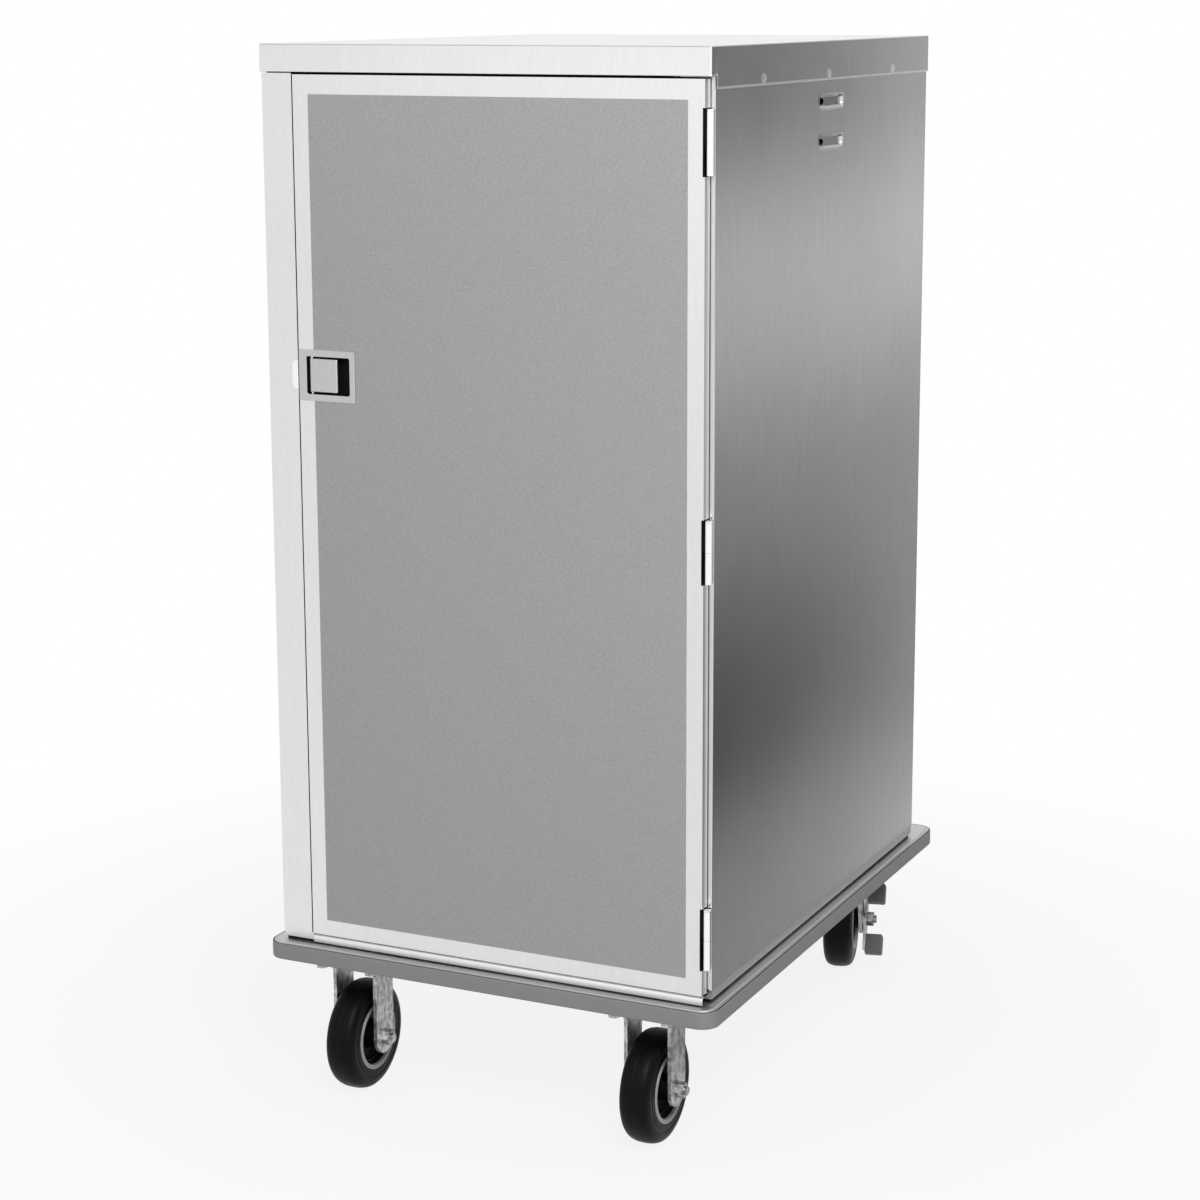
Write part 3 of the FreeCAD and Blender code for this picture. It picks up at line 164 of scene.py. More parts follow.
def paint(name, effect, grey, metallic, rough, tone, shine, bump, depth=0.2 * MM, gleam=0.5, **numbers):
    """Keeps a material in PAINT: colour grey (1 -/+ tone), roughness rough -/+ shine, a relief of depth."""
    made = bpy.data.materials.new(name)
    made.use_nodes = True
    tree = made.node_tree
    shader = tree.nodes["Principled BSDF"]
    group = tree.nodes.new("ShaderNodeGroup")
    group.node_tree = effect
    tree.links.new(node(tree, "TexCoord").outputs["Object"], group.inputs["Vector"])
    for key, value in numbers.items():
        group.inputs[key].default_value = value
    dark, light = ((min(grey * (1 + swing), 1),) * 3 + (1,) for swing in (-tone, tone))
    mix = node(tree, "Mix", {"data_type": "RGBA", 6: dark, 7: light})
    tree.links.new(group.outputs["Tone"], mix.inputs[0])
    tree.links.new(mix.outputs[2], shader.inputs["Base Color"])
    gloss = spread(tree, group.outputs["Gloss"], 0, 1, rough - shine, rough + shine)
    tree.links.new(gloss, shader.inputs["Roughness"])
    shader.inputs["Metallic"].default_value = metallic
    shader.inputs["Specular IOR Level"].default_value = gleam
    relief = node(tree, "Bump", {"Strength": bump, "Distance": depth}, Height=group.outputs["Height"])
    tree.links.new(relief.outputs[0], shader.inputs["Normal"])
    made.diffuse_color = light
    PAINT[name] = made


# %% [markdown]
# ## Brushed steel
# The cabinet is stainless sheet with upright polishing lines, clouded where cloths and hands have rubbed
# it. A picture of steel could be laid over it, but noise drawn out along z gives lines of any length with
# no seams. Fine and broad lines are added, and two slow noises cloud the tone and the gloss. The side
# panel is a smoother finish than the front, because in the photograph it mirrors the room.

# %% Effect: brushed metal
def brushed_group():
    """Tone = 0.5 + Grain (lines - 0.5) + Clouds (clouds - 0.5), where lines = 0.6 fine + 0.4 broad."""
    group, inside, outside = new_group("brushed_metal", {"Grain": 1.0, "Clouds": 1.0})
    vector = inside.outputs["Vector"]
    fine = noise(group, stretched(group, vector, 480, 480, 70), 1.0, 2.0)
    broad = noise(group, stretched(group, vector, 150, 150, 16), 1.0, 2.0)
    clouds = noise(group, vector, 2.6, 2.0)
    rubs = noise(group, stretched(group, vector, 5, 5, 1.5), 1.0, 2.0)
    lines = maths(group, "ADD", maths(group, "MULTIPLY", fine, 0.6), maths(group, "MULTIPLY", broad, 0.4))
    centred = maths(group, "MULTIPLY", maths(group, "SUBTRACT", lines, 0.5), inside.outputs["Grain"])
    drift = maths(group, "MULTIPLY", maths(group, "SUBTRACT", clouds, 0.5), inside.outputs["Clouds"])
    group.links.new(maths(group, "ADD", maths(group, "ADD", centred, drift), 0.5), outside.inputs["Tone"])
    rubbed = maths(group, "ADD", maths(group, "MULTIPLY", rubs, 0.6), maths(group, "MULTIPLY", clouds, 0.4))
    group.links.new(spread(group, rubbed, 0.3, 0.7), outside.inputs["Gloss"])
    group.links.new(lines, outside.inputs["Height"])
    return group


brushed = brushed_group()

# %% Steel finishes
paint("satin_stainless", brushed, grey=0.77, metallic=1, rough=0.32, tone=0.08, shine=0.03, bump=0.03,
      Clouds=0.5)
paint("side_stainless", brushed, grey=0.66, metallic=1, rough=0.20, tone=0.14, shine=0.02, bump=0.03,
      Clouds=0.8)
paint("latch_metal", brushed, grey=0.56, metallic=1, rough=0.42, tone=0.08, shine=0.05, bump=0.1)
paint("bright_steel", brushed, grey=0.94, metallic=1, rough=0.28, tone=0.04, shine=0.05, bump=0.03)
paint("base_steel", brushed, grey=0.50, metallic=1, rough=0.40, tone=0.08, shine=0.06, bump=0.05)
print("steel finishes:", len(PAINT))

# %% [markdown]
# ## Decor laminate
# The door's panel is a mid grey laminate, printed with a fine cloth pattern that shows as a light speckle
# from a step away. A woven image would need its own coordinates, so two noises are drawn out across each
# other for warp and weft, and a third, nearly white noise gives the speckle of the print.

# %% Effect: linen laminate
def linen_group():
    """Tone = 0.5 + Weave (0.5 cloth + 0.5 speck - 0.5), where cloth is the mean of warp and weft."""
    group, inside, outside = new_group("linen_laminate", {"Weave": 1.0})
    vector = inside.outputs["Vector"]
    warp = noise(group, stretched(group, vector, 1500, 1500, 260), 1.0, 2.0)
    weft = noise(group, stretched(group, vector, 260, 260, 1500), 1.0, 2.0)
    cloth = maths(group, "MULTIPLY", maths(group, "ADD", warp, weft), 0.5)
    speck = spread(group, noise(group, vector, 420.0, 3.0, 0.8), 0.35, 0.65)
    tone = maths(group, "ADD", maths(group, "MULTIPLY", cloth, 0.5), maths(group, "MULTIPLY", speck, 0.5))
    tone = maths(group, "MULTIPLY", maths(group, "SUBTRACT", tone, 0.5), inside.outputs["Weave"])
    group.links.new(maths(group, "ADD", tone, 0.5), outside.inputs["Tone"])
    group.links.new(noise(group, vector, 9.0, 4.0), outside.inputs["Gloss"])
    group.links.new(cloth, outside.inputs["Height"])
    return group


linen = linen_group()
paint("door_laminate", linen, grey=0.40, metallic=0, rough=0.55, tone=0.24, shine=0.05, bump=0.2,
      depth=0.1 * MM, gleam=0.3)
print("laminate:", linen.name)

# %% [markdown]
# ## Zinc plate
# The caster forks are stamped steel with a zinc coat, which is flecked by its crystals and stained in
# streaks. Crystals have straight edges, so a Voronoi texture gives one grey to each cell, and a drawn-out
# noise adds the streaks. Plain noise alone would look like cloud and not like metal.

# %% Effect: zinc plate
def zinc_group():
    """Tone = 0.5 + 0.5 (cell grey - 0.5) + Stain (streaks - 0.5)."""
    group, inside, outside = new_group("zinc_plate", {"Cells": 90.0, "Stain": 1.0})
    vector = inside.outputs["Vector"]
    cells = node(group, "TexVoronoi", {"Randomness": 1.0}, Vector=vector, Scale=inside.outputs["Cells"])
    flecks = node(group, "SeparateColor", None, Color=cells.outputs["Color"]).outputs[0]
    runs = noise(group, stretched(group, vector, 170, 170, 95), 1.0, 4.0)
    stain = maths(group, "MULTIPLY", maths(group, "SUBTRACT", spread(group, runs, 0.35, 0.65), 0.5),
                  inside.outputs["Stain"])
    tone = maths(group, "ADD", maths(group, "MULTIPLY", maths(group, "SUBTRACT", flecks, 0.5), 0.5), stain)
    group.links.new(maths(group, "ADD", tone, 0.5), outside.inputs["Tone"])
    group.links.new(flecks, outside.inputs["Gloss"])
    group.links.new(noise(group, vector, 500.0, 3.0), outside.inputs["Height"])
    return group


zinc = zinc_group()
paint("zinc_steel", zinc, grey=0.44, metallic=1, rough=0.46, tone=0.45, shine=0.12, bump=0.3)
print("zinc:", zinc.name)

# %% [markdown]
# ## Ribbed pads
# The brake's foot pads have fine ribs for grip. Cutting each rib into the mesh would cost thousands of
# faces for lines thinner than a pixel, so a sine wave along the level draws them in tone and relief.

# %% Effect: ribbed rubber
def ribbed_group():
    """Rib = sin(Ribs (x + y)), squeezed to 0..1; Tone = 0.6 rib + 0.4 Scuffs dust."""
    group, inside, outside = new_group("ribbed_rubber", {"Ribs": 2400.0, "Scuffs": 1.0})
    vector = inside.outputs["Vector"]
    parts = node(group, "SeparateXYZ", None, Vector=vector)
    level = maths(group, "ADD", parts.outputs[0], parts.outputs[1])
    wave = maths(group, "SINE", maths(group, "MULTIPLY", level, inside.outputs["Ribs"]))
    rib = spread(group, wave, -0.6, 0.6)
    dust = maths(group, "MULTIPLY", noise(group, vector, 90.0, 4.0), inside.outputs["Scuffs"])
    tone = maths(group, "ADD", maths(group, "MULTIPLY", rib, 0.6), maths(group, "MULTIPLY", dust, 0.4))
    group.links.new(tone, outside.inputs["Tone"])
    group.links.new(dust, outside.inputs["Gloss"])
    group.links.new(rib, outside.inputs["Height"])
    return group


ribbed = ribbed_group()
paint("pad_grey", ribbed, grey=0.15, metallic=0, rough=0.6, tone=0.35, shine=0.08, bump=0.5, depth=0.6 * MM,
      gleam=0.4)
print("pads:", ribbed.name)

# %% [markdown]
# ## Moulded rubber and plastic
# Tyres, bumper, hubs and seal come out of a mould, whose wall leaves a fine pebble on them, and they
# gather dust and scuffs. One effect serves all four, because only its numbers differ: nearly black and
# dull for the tyres, mid grey for the bumper strip.

# %% Effect: moulded rubber and plastic
def moulded_group():
    """Tone = 0.3 pebble + 0.5 Scuffs (dust + scuff), with dust and scuff squeezed to their darkest part."""
    group, inside, outside = new_group("moulded", {"Pebble": 1200.0, "Scuffs": 1.0})
    vector = inside.outputs["Vector"]
    grain = node(group, "TexNoise", {"Detail": 2.0}, Vector=vector, Scale=inside.outputs["Pebble"])
    pebble = grain.outputs["Fac"]
    dust = spread(group, noise(group, vector, 24.0, 5.0, 0.65), 0.4, 0.75)
    scuff = spread(group, noise(group, stretched(group, vector, 40, 40, 220), 1.0, 3.0), 0.55, 0.8)
    marks = maths(group, "MULTIPLY", maths(group, "ADD", dust, scuff), inside.outputs["Scuffs"])
    tone = maths(group, "ADD", maths(group, "MULTIPLY", pebble, 0.3), maths(group, "MULTIPLY", marks, 0.5))
    group.links.new(tone, outside.inputs["Tone"])
    group.links.new(dust, outside.inputs["Gloss"])
    group.links.new(pebble, outside.inputs["Height"])
    return group


moulded = moulded_group()

# %% Moulded finishes
paint("bumper_grey", moulded, grey=0.29, metallic=0, rough=0.55, tone=0.10, shine=0.08, bump=0.2, gleam=0.4,
      Scuffs=0.6)
paint("tyre_black", moulded, grey=0.004, metallic=0, rough=0.46, tone=0.5, shine=0.1, bump=0.3, gleam=0.1,
      Scuffs=0.9)
paint("hub_grey", moulded, grey=0.34, metallic=0.4, rough=0.45, tone=0.14, shine=0.08, bump=0.2)
paint("gasket_dark", moulded, grey=0.008, metallic=0, rough=0.7, tone=0.2, shine=0.08, bump=0.3, gleam=0.1)
print("materials:", sorted(PAINT))

# %% Paint on the CAD pieces
SLOTS = {part["node"]: part["material_slot"] for part in frame["record"]["subparts"]}
for name, item in frame["nodes"].items():
    item.data.materials.clear()
    item.data.materials.append(PAINT[SLOTS[name]])
print("painted:", len(frame["nodes"]), "nodes")

# %% [markdown]
# ## From an array of points to a piece
# The cart's pieces are sheet, mouldings and turned parts. Each new surface is a grid: the rows are its
# profile, and the columns go round it or along it. It could be modelled by hand from primitives, but as an
# array a whole piece is one formula, which can be measured and changed by one number. Weighted normals then
# keep large flat faces looking flat beside small round ones.

# %% Grid to mesh
def grid_object(name, points, loop_u=False, loop_v=False, keep=None, lid=False):
    """Mesh from an array of points (rows, columns, 3): each cell is one quad, except where keep is False.

    loop_u and loop_v join the last row or column to the first; lid closes the last row with a flat face."""
    rows, columns = points.shape[:2]
    index = np.arange(rows * columns).reshape(rows, columns)
    if loop_u:
        index = np.concatenate([index, index[:1]], 0)
    if loop_v:
        index = np.concatenate([index, index[:, :1]], 1)
    quads = np.stack([index[:-1, :-1], index[:-1, 1:], index[1:, 1:], index[1:, :-1]], -1)
    quads = quads.reshape(-1, 4) if keep is None else quads[keep]
    faces = quads.tolist() + ([index[-1, :columns].tolist()] if lid else [])
    mesh = bpy.data.meshes.new(name)
    mesh.from_pydata(points.reshape(-1, 3).tolist(), [], faces)
    mesh.polygons.foreach_set("use_smooth", np.ones(len(faces), bool))
    made = bpy.data.objects.new(name, mesh)
    scene.collection.objects.link(made)
    return made


# %% Rounded rectangle
def rectangle(half_a, half_b, radius, steps=6):
    """Rounded rectangle as quarter circles about its corner centres: points, and normals that face out."""
    turn = np.linspace(0, math.pi / 2, steps)
    angle = np.concatenate([turn + math.pi / 2 * k for k in range(4)])
    normal = np.stack([np.cos(angle), np.sin(angle)], -1)
    side = np.array([[1, 1], [-1, 1], [-1, -1], [1, -1]]).repeat(steps, 0)
    centre = side * (np.array([half_a, half_b]) - radius)
    return centre + radius * normal, normal


# %% Paint and place a piece
def second_paint(item, slot, chosen):
    """Gives a second material to the faces that chosen(centres, normals) picks, both as rows of x, y, z."""
    mesh = item.data
    centre, normal = np.empty(len(mesh.polygons) * 3), np.empty(len(mesh.polygons) * 3)
    mesh.polygons.foreach_get("center", centre)
    mesh.polygons.foreach_get("normal", normal)
    mesh.materials.append(PAINT[slot])
    picked = chosen(centre.reshape(-1, 3), normal.reshape(-1, 3))
    index = np.empty(len(mesh.polygons), np.int32)
    mesh.polygons.foreach_get("material_index", index)
    index = np.where(picked, len(mesh.materials) - 1, index).astype(np.int32)
    mesh.polygons.foreach_set("material_index", index)
    return int(picked.sum())


def finish_piece(made, slot, body, *nodes):
    """Paints a piece, names its slot, lets it ride on a body and hides the CAD nodes that it stands for."""
    made.modifiers.new("flat", "WEIGHTED_NORMAL").keep_sharp = True
    made.data.materials.append(PAINT[slot])
    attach(made, body)
    if nodes:
        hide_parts(*nodes)
    return made


# %% [markdown]
# ## Top cap
# The cap is a lid folded from sheet, with a skirt all round and a rolled hem at its foot. A box with a
# bevel would come close, but the hem runs higher over the door than round the sides and the rear, and it
# catches a line of light. So the rows follow the folded sheet from inside the skirt, round the hem, up the
# outside and over the bend, and one flat face closes the top. Though the cap is one sheet, its sides and
# rear take the darker side finish and its bend the darker latch finish as painted shade, and the hem along
# the sides takes the lightest steel as a painted highlight.

# %% Top cap
cap_low, cap_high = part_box("top_cap")
door_low, door_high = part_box("door_shell")
side_low, side_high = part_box("side_panel_right")
cap_half_x, cap_half_y = (cap_high.x - cap_low.x) / 2, (cap_high.y - cap_low.y) / 2
cap_y = (cap_low.y + cap_high.y) / 2
HEADER_HEM = door_high.z + 3 * MM
CAP_CORNER, SHEET, BEND, STEP, BEAD = 2.5 * MM, 2.0 * MM, 1.6 * MM, 0.25 * MM, 0.8 * MM


def build_cap():
    """Rows of the folded sheet, from the inside to the bend; columns follow the outline.

    The hem is a half circle, inset = b cos t + b - BEAD and level = foot + b (1 - sin t). The bend is a
    quarter circle, inset = BEND (1 - cos t) and level = top - BEND (1 - sin t). The foot steps up where the
    side panel ends in front."""
    path, normal = rectangle(cap_half_x, cap_half_y, CAP_CORNER)
    front = len(path) // 2
    stop = side_low.y - cap_y
    left = np.array([[-cap_half_x, stop + STEP], [-cap_half_x, stop - STEP]])
    path = np.concatenate([path[:front], left, path[front:], left[::-1] * (-1, 1)])
    normal = np.concatenate([normal[:front], [[-1.0, 0]] * 2, normal[front:], [[1.0, 0]] * 2])
    foot = np.where(path[:, 1] < stop, HEADER_HEM, cap_low.z)
    top = np.full(len(path), cap_high.z)
    hem, roll = np.linspace(0, math.pi, 6)[:, None], np.linspace(0, math.pi / 2, 7)[:, None]
    b = (SHEET + BEAD) / 2
    inset = np.concatenate([[[SHEET]], b * np.cos(hem) + b - BEAD, [[0]], [[0]], BEND * (1 - np.cos(roll))])
    level = [top - SHEET, foot + b * (1 - np.sin(hem)), foot + 2.2 * b, top - 2 * BEND,
             top - BEND * (1 - np.sin(roll))]
    flat = path[None] - normal[None] * inset[:, :, None]
    points = np.concatenate([flat + np.array([0, cap_y]), np.vstack(level)[..., None]], -1)
    return grid_object("cap_skin", points, loop_v=True, lid=True)


cap = finish_piece(build_cap(), "satin_stainless", "cart", "top_cap")
# Painted shade: the cap's sides and rear get the darker, glossier side finish.
sides = second_paint(cap, "side_stainless", lambda c, n: (abs(n[:, 0]) > 0.9) | (n[:, 1] > 0.9))
# Painted shade: the faces round the top bend get the darker latch finish.
bend = second_paint(cap, "latch_metal", lambda c, n: (c[:, 2] > cap_high.z - BEND) & (n[:, 2] < 0.95))
HEM_Z = cap_low.z + 3 * MM
# Painted highlight: the hem along both sides gets the lightest steel.
hem = second_paint(cap, "bright_steel", lambda c, n: (c[:, 2] < HEM_Z) & (abs(c[:, 0]) > cap_half_x))
print("cap faces:", len(cap.data.polygons), "sides", sides, "bend", bend, "hem", hem)

# %% [markdown]
# ## Weld marks
# The skirt is spot welded to the side panel, and each weld leaves a pale, slightly raised oval over the
# hem. A spot in the material would do from afar, but a low dome also catches the light from the side.

# %% Weld marks on the skirt
WELD_Y, WELD_Z = (-0.257, -0.026, 0.226), 1.3905
WELD_HALF, WELD_RISE, WELD_CLEAR = (9 * MM, 7 * MM), 0.15 * MM, 0.01 * MM


def build_welds():
    """Domes, out = rise (1 - r^2)^2 on rings of radius r, standing a hair off the right skirt."""
    r = np.linspace(1, 0.08, 7)[:, None]
    t = np.linspace(0, 2 * math.pi, 24, endpoint=False)[None]
    made = []
    for i, y in enumerate(WELD_Y):
        out = cap_half_x + WELD_RISE * (1 - r ** 2) ** 2 + 0 * t + WELD_CLEAR
        points = np.stack([out, y + WELD_HALF[0] * r * np.cos(t), WELD_Z + WELD_HALF[1] * r * np.sin(t)], -1)
        made.append(grid_object(f"skirt_weld_{i}", points[:, ::-1], loop_v=True, lid=True))
    return made


for mark in build_welds():
    finish_piece(mark, "bright_steel", "cart")
print("weld marks:", len(WELD_Y))

# %% [markdown]
# ## Side panels with pressed vents
# Each side panel is one sheet, rounded off at its front edge, with two vents pressed into it: the metal
# lifts in a thin lip and drops into a recess that grows deeper towards the front, where an oval hole lets
# the air through. A boolean cut would leave hard edges. A height field over (y, z), measured by the
# distance s to the vent's outline, gives the lip, the wall and the floor their soft press lines.

# %% Vent outline
SIDE_X = side_high.x
VENT_MIDDLE_Y, VENT_Z = -0.0105, (1.354, 1.3005)
VENT_HALF, VENT_CORNER = (0.0445, 0.00875), 6.5 * MM
VENT_REACH, VENT_MARGIN, FINE_Y, FINE_Z = 0.052, 0.014, 0.0009, 0.0007


def refined(start, stop, count, fine_start, fine_stop, fine_step):
    """Sorted coordinates from start to stop: evenly spread, and close together between two limits."""
    coarse = np.linspace(start, stop, count)
    fine = np.arange(fine_start, fine_stop, fine_step)
    outside = coarse[(coarse < fine_start - fine_step) | (coarse > fine_stop)]
    every = np.sort(np.concatenate([outside, fine]))
    every[0], every[-1] = start, stop
    return every


def box_distance(a, b, half_a, half_b, radius):
    """Signed distance to a rounded rectangle, below zero inside: what lies past the corner centres, less r."""
    qa, qb = np.abs(a) - (half_a - radius), np.abs(b) - (half_b - radius)
    return np.hypot(np.maximum(qa, 0), np.maximum(qb, 0)) + np.minimum(np.maximum(qa, qb), 0) - radius


def vent_press(a, b):
    """How far in a vent lies at (a, b) from its middle, and where its hole is.

    In = depth w - lip, with w a smooth step over the wall, depth = (5 - 1.5 a / half length) mm, and the lip
    a bell curve just outside the outline, whose long edges close in by an eighth towards both ends."""
    barrel = VENT_HALF[1] * (1 - 0.12 * (a / VENT_HALF[0]) ** 2)
    s = box_distance(a, b * VENT_HALF[1] / barrel, *VENT_HALF, VENT_CORNER)
    wall = np.clip(0.5 - (s + 1.2 * MM) / (2.2 * MM), 0, 1)
    wall = wall * wall * (3 - 2 * wall)
    depth = (5.0 - 1.5 * a / VENT_HALF[0]) * MM
    lip = 0.5 * MM * np.exp(-((s - 0.6 * MM) / (1.1 * MM)) ** 2)
    hole = ((a + 23.5 * MM) / (10 * MM)) ** 2 + (b / (4.8 * MM)) ** 2 < 1
    return depth * wall - lip, hole


# %% Side panels
FRONT_ROUND, PANEL_SHEET, PANEL_EDGE = 3.0 * MM, 1.4 * MM, 0.5 * MM
LEFT_TOP = HEADER_HEM - 1.5 * MM


def build_side(name, side, front, back, bottom, top):
    """Height field over y and z: x = side (SIDE_X - inward), inward = R - sqrt(R^2 - d^2) at the front."""
    y = refined(front, back, 15, VENT_MIDDLE_Y - VENT_REACH, VENT_MIDDLE_Y + VENT_REACH, FINE_Y)
    z = refined(bottom, top, 20, VENT_Z[1] - VENT_MARGIN, VENT_Z[0] + VENT_MARGIN, FINE_Z)
    turn = np.linspace(0, math.pi / 2, 8)
    y = np.concatenate([front + FRONT_ROUND * (1 - np.cos(turn)), y[1:]])
    y, z = np.meshgrid(y, z, indexing="ij")
    short = np.clip(FRONT_ROUND - (y - front), 0, FRONT_ROUND)
    inward = FRONT_ROUND - np.sqrt(FRONT_ROUND ** 2 - short ** 2)
    keep = np.ones((y.shape[0] - 1, y.shape[1] - 1), bool)
    for vent in VENT_Z:
        press, hole = vent_press(y - VENT_MIDDLE_Y, z - vent)
        inward += press
        keep &= ~(hole[:-1, :-1] & hole[1:, :-1] & hole[:-1, 1:] & hole[1:, 1:])
    points = np.stack([side * (SIDE_X - inward), y, z], -1)
    if side > 0:
        points, keep = points[:, ::-1], keep[:, ::-1]
    made = grid_object(name, points, keep=keep)
    skin = made.modifiers.new("sheet", "SOLIDIFY")
    skin.thickness, skin.offset = PANEL_SHEET, -1
    rim = made.modifiers.new("edge", "BEVEL")
    rim.width, rim.segments, rim.limit_method, rim.angle_limit = PANEL_EDGE, 2, "ANGLE", math.radians(60)
    return made


right_side = build_side("side_skin_right", 1, side_low.y, side_high.y, side_low.z, side_high.z)
finish_piece(right_side, "side_stainless", "cart", "side_panel_right")
low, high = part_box("side_panel_left")
left_side = build_side("side_skin_left", -1, low.y, high.y, low.z, LEFT_TOP)
finish_piece(left_side, "side_stainless", "cart", "side_panel_left")
print("side panel:", len(right_side.data.polygons), "faces")

# %% [markdown]
# ## Bumper
# A moulded strip runs round the base and takes the knocks. It is the same section everywhere, so it is one
# profile carried along the rounded rectangle of the base: a convex face, a small lip at both edges and a
# groove where it sits in its channel. The upward faces of the top lip, where the strip meets the platform,
# get the gasket's near black as painted shade.

# %% A profile round a rectangle
def rounded(corners, radius, steps=5, closed=False):
    """Corners p replaced by curves p + (1-t)^2 a + t^2 b, which run between the cut points p+a and p+b."""
    corners = np.asarray(corners, float)
    before, after = np.roll(corners, 1, 0), np.roll(corners, -1, 0)
    radii = np.broadcast_to(np.asarray(radius, float), len(corners))
    t = np.linspace(0, 1, steps)[:, None]
    out = []
    for i, p in enumerate(corners):
        if not closed and i in (0, len(corners) - 1):
            out.append(p[None])
            continue
        a, b = before[i] - p, after[i] - p
        cut_a = a * min(radii[i] / np.linalg.norm(a), 0.49)
        cut_b = b * min(radii[i] / np.linalg.norm(b), 0.49)
        out.append(p + (1 - t) ** 2 * cut_a + t ** 2 * cut_b)
    return np.concatenate(out)


def ringed(name, half_a, half_b, radius, profile, place, steps=6, closed=False):
    """Surface round a rounded rectangle: a profile point (inset, height) is the outline moved in and lifted.

    place turns the two flat coordinates and the height into x, y, z."""
    path, normal = rectangle(half_a, half_b, radius, steps)
    flat = path[None] - normal[None] * profile[:, 0, None, None]
    height = np.broadcast_to(profile[:, 1, None], flat.shape[:2])
    return grid_object(name, place(flat[..., 0], flat[..., 1], height), loop_u=closed, loop_v=True)


def facing_up(x, y, z):
    """Placement of a level outline, whose height points up."""
    return lambda a, b, h: np.stack([x + a, y + b, z + h], -1)


# %% Bumper strip
BUMPER_CORNER = 25 * MM
BUMPER_FACE = [(6.0, -9.0), (2.6, -9.2), (2.6, -11.2), (0.7, -11.4), (0.15, -9.4), (0.0, 0.0),
               (0.15, 9.4), (0.7, 11.4), (2.6, 11.2), (2.6, 9.2), (6.0, 9.0)]
BUMPER_ROUND = [0, 0.3, 0.3, 1.2, 2.5, 9, 2.5, 1.2, 0.3, 0.3, 0]
low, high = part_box("bumper_strip")
bumper_z = (low.z + high.z) / 2
strip = ringed("bumper_skin", high.x, high.y, BUMPER_CORNER, rounded(BUMPER_FACE, BUMPER_ROUND) * MM,
               facing_up(0, 0, bumper_z), 14)
finish_piece(strip, "bumper_grey", "cart", "bumper_strip")
# Painted shade: the upward faces of the top lip are painted near black.
groove = second_paint(strip, "gasket_dark", lambda c, n: (c[:, 2] > bumper_z + 9 * MM) & (n[:, 2] > 0.7))
print("bumper:", len(strip.data.polygons), "faces, groove", groove)

# %% [markdown]
# ## Wheels
# The casters run on solid rubber tyres over moulded hubs. Both are turned parts, so each is a profile spun
# about its axle: the tyre has rounded shoulders, a moulding seam down the middle and a bead at the rim,
# and the hub has a grooved rim, a stepped dish and a boss. In the photograph the dish is in deep shade, so
# it is painted black.

# %% Wheel profiles
TYRE = [(-22, 48), (-22, 55), (-21.2, 57), (-22, 59), (-22, 64), (-18.2, 72.6), (-9, 75.8), (-1.2, 76),
        (-0.8, 75.7), (0.8, 75.7), (1.2, 76), (9, 75.8), (18.2, 72.6), (22, 64), (22, 59), (21.2, 57),
        (22, 55), (22, 48)]
TYRE_ROUND = [0.5, 1, 1, 1, 5, 6, 6, 0.3, 0.3, 0.3, 0.3, 6, 6, 5, 1, 1, 1, 0.5]
HALF_HUB = [(22.4, 47.8), (23.2, 46.6), (23.2, 45.4), (22.2, 44.9), (22.2, 44.2), (23, 43.6), (23, 42.2),
            (21.6, 41.4), (19.8, 41.2), (12.2, 38.2), (12.2, 35.6), (8, 33.5),
            (6, 31), (6, 21.5), (8.5, 18.5), (26, 16.8), (28.0, 16.2), (28.3, 12)]
HUB = HALF_HUB + [(-a, r) for a, r in HALF_HUB[::-1]]
HUB_ROUND, DISH_RADIUS = 0.9, 40.5 * MM


def lathe(name, profile, centre, along, steps):
    """Profile (d along, radius r) spun about a level axle: centre + d axle + r (cos t level + sin t up)."""
    axle = np.array([math.cos(along), math.sin(along), 0.0])
    level = np.array([-axle[1], axle[0], 0.0])
    t = np.linspace(0, 2 * math.pi, steps, endpoint=False)
    spoke = np.cos(t)[:, None] * level + np.sin(t)[:, None] * np.array([0, 0, 1.0])
    points = np.array(centre) + profile[:, 0, None, None] * axle + profile[:, 1, None, None] * spoke
    return grid_object(name, points, loop_u=True, loop_v=True)


def axle_distance(points, centre, along):
    """Distance from a wheel's axle, in the wheel's own plane: the root of level^2 + height^2."""
    away = points - np.array(centre)
    level = away[:, :2] @ np.array([-math.sin(along), math.cos(along)])
    return np.hypot(level, away[:, 2])


# %% Wheels
def wheel(label, body, centre, along):
    """Tyre and hub of one caster, riding on its wheel body."""
    tyre = lathe("tyre_skin_" + label, rounded(TYRE, TYRE_ROUND, 4, True) * MM, centre, along, 128)
    finish_piece(tyre, "tyre_black", body, label.replace("_", "_tyre_"))
    hub = lathe("hub_skin_" + label, rounded(HUB, HUB_ROUND, 3, True) * MM, centre, along, 96)
    finish_piece(hub, "hub_grey", body, label.replace("_", "_hub_"))
    second_paint(hub, "tyre_black", lambda c, n: axle_distance(c, centre, along) < DISH_RADIUS)
    return len(tyre.data.polygons), len(hub.data.polygons)


for joint in frame["joints"]:
    if joint["name"].endswith("_spin"):
        x, y = joint["axis"][:2]
        faces = wheel(joint["child"].replace("_wheel", ""), joint["child"], joint["pos_m"], math.atan2(y, x))
        print(joint["child"], "tyre and hub faces:", faces)

# %% [markdown]
# ## Latch
# The latch is a stamped bezel round a finger pocket, with a paddle in it. The pocket isn't in the middle
# of the bezel, so a plain inset would not fit: the rows start on the bezel's outline, then slide over to
# the pocket's outline and run down its walls. The pocket's walls and floor are painted near black as
# painted shade, the shade inside the recess.

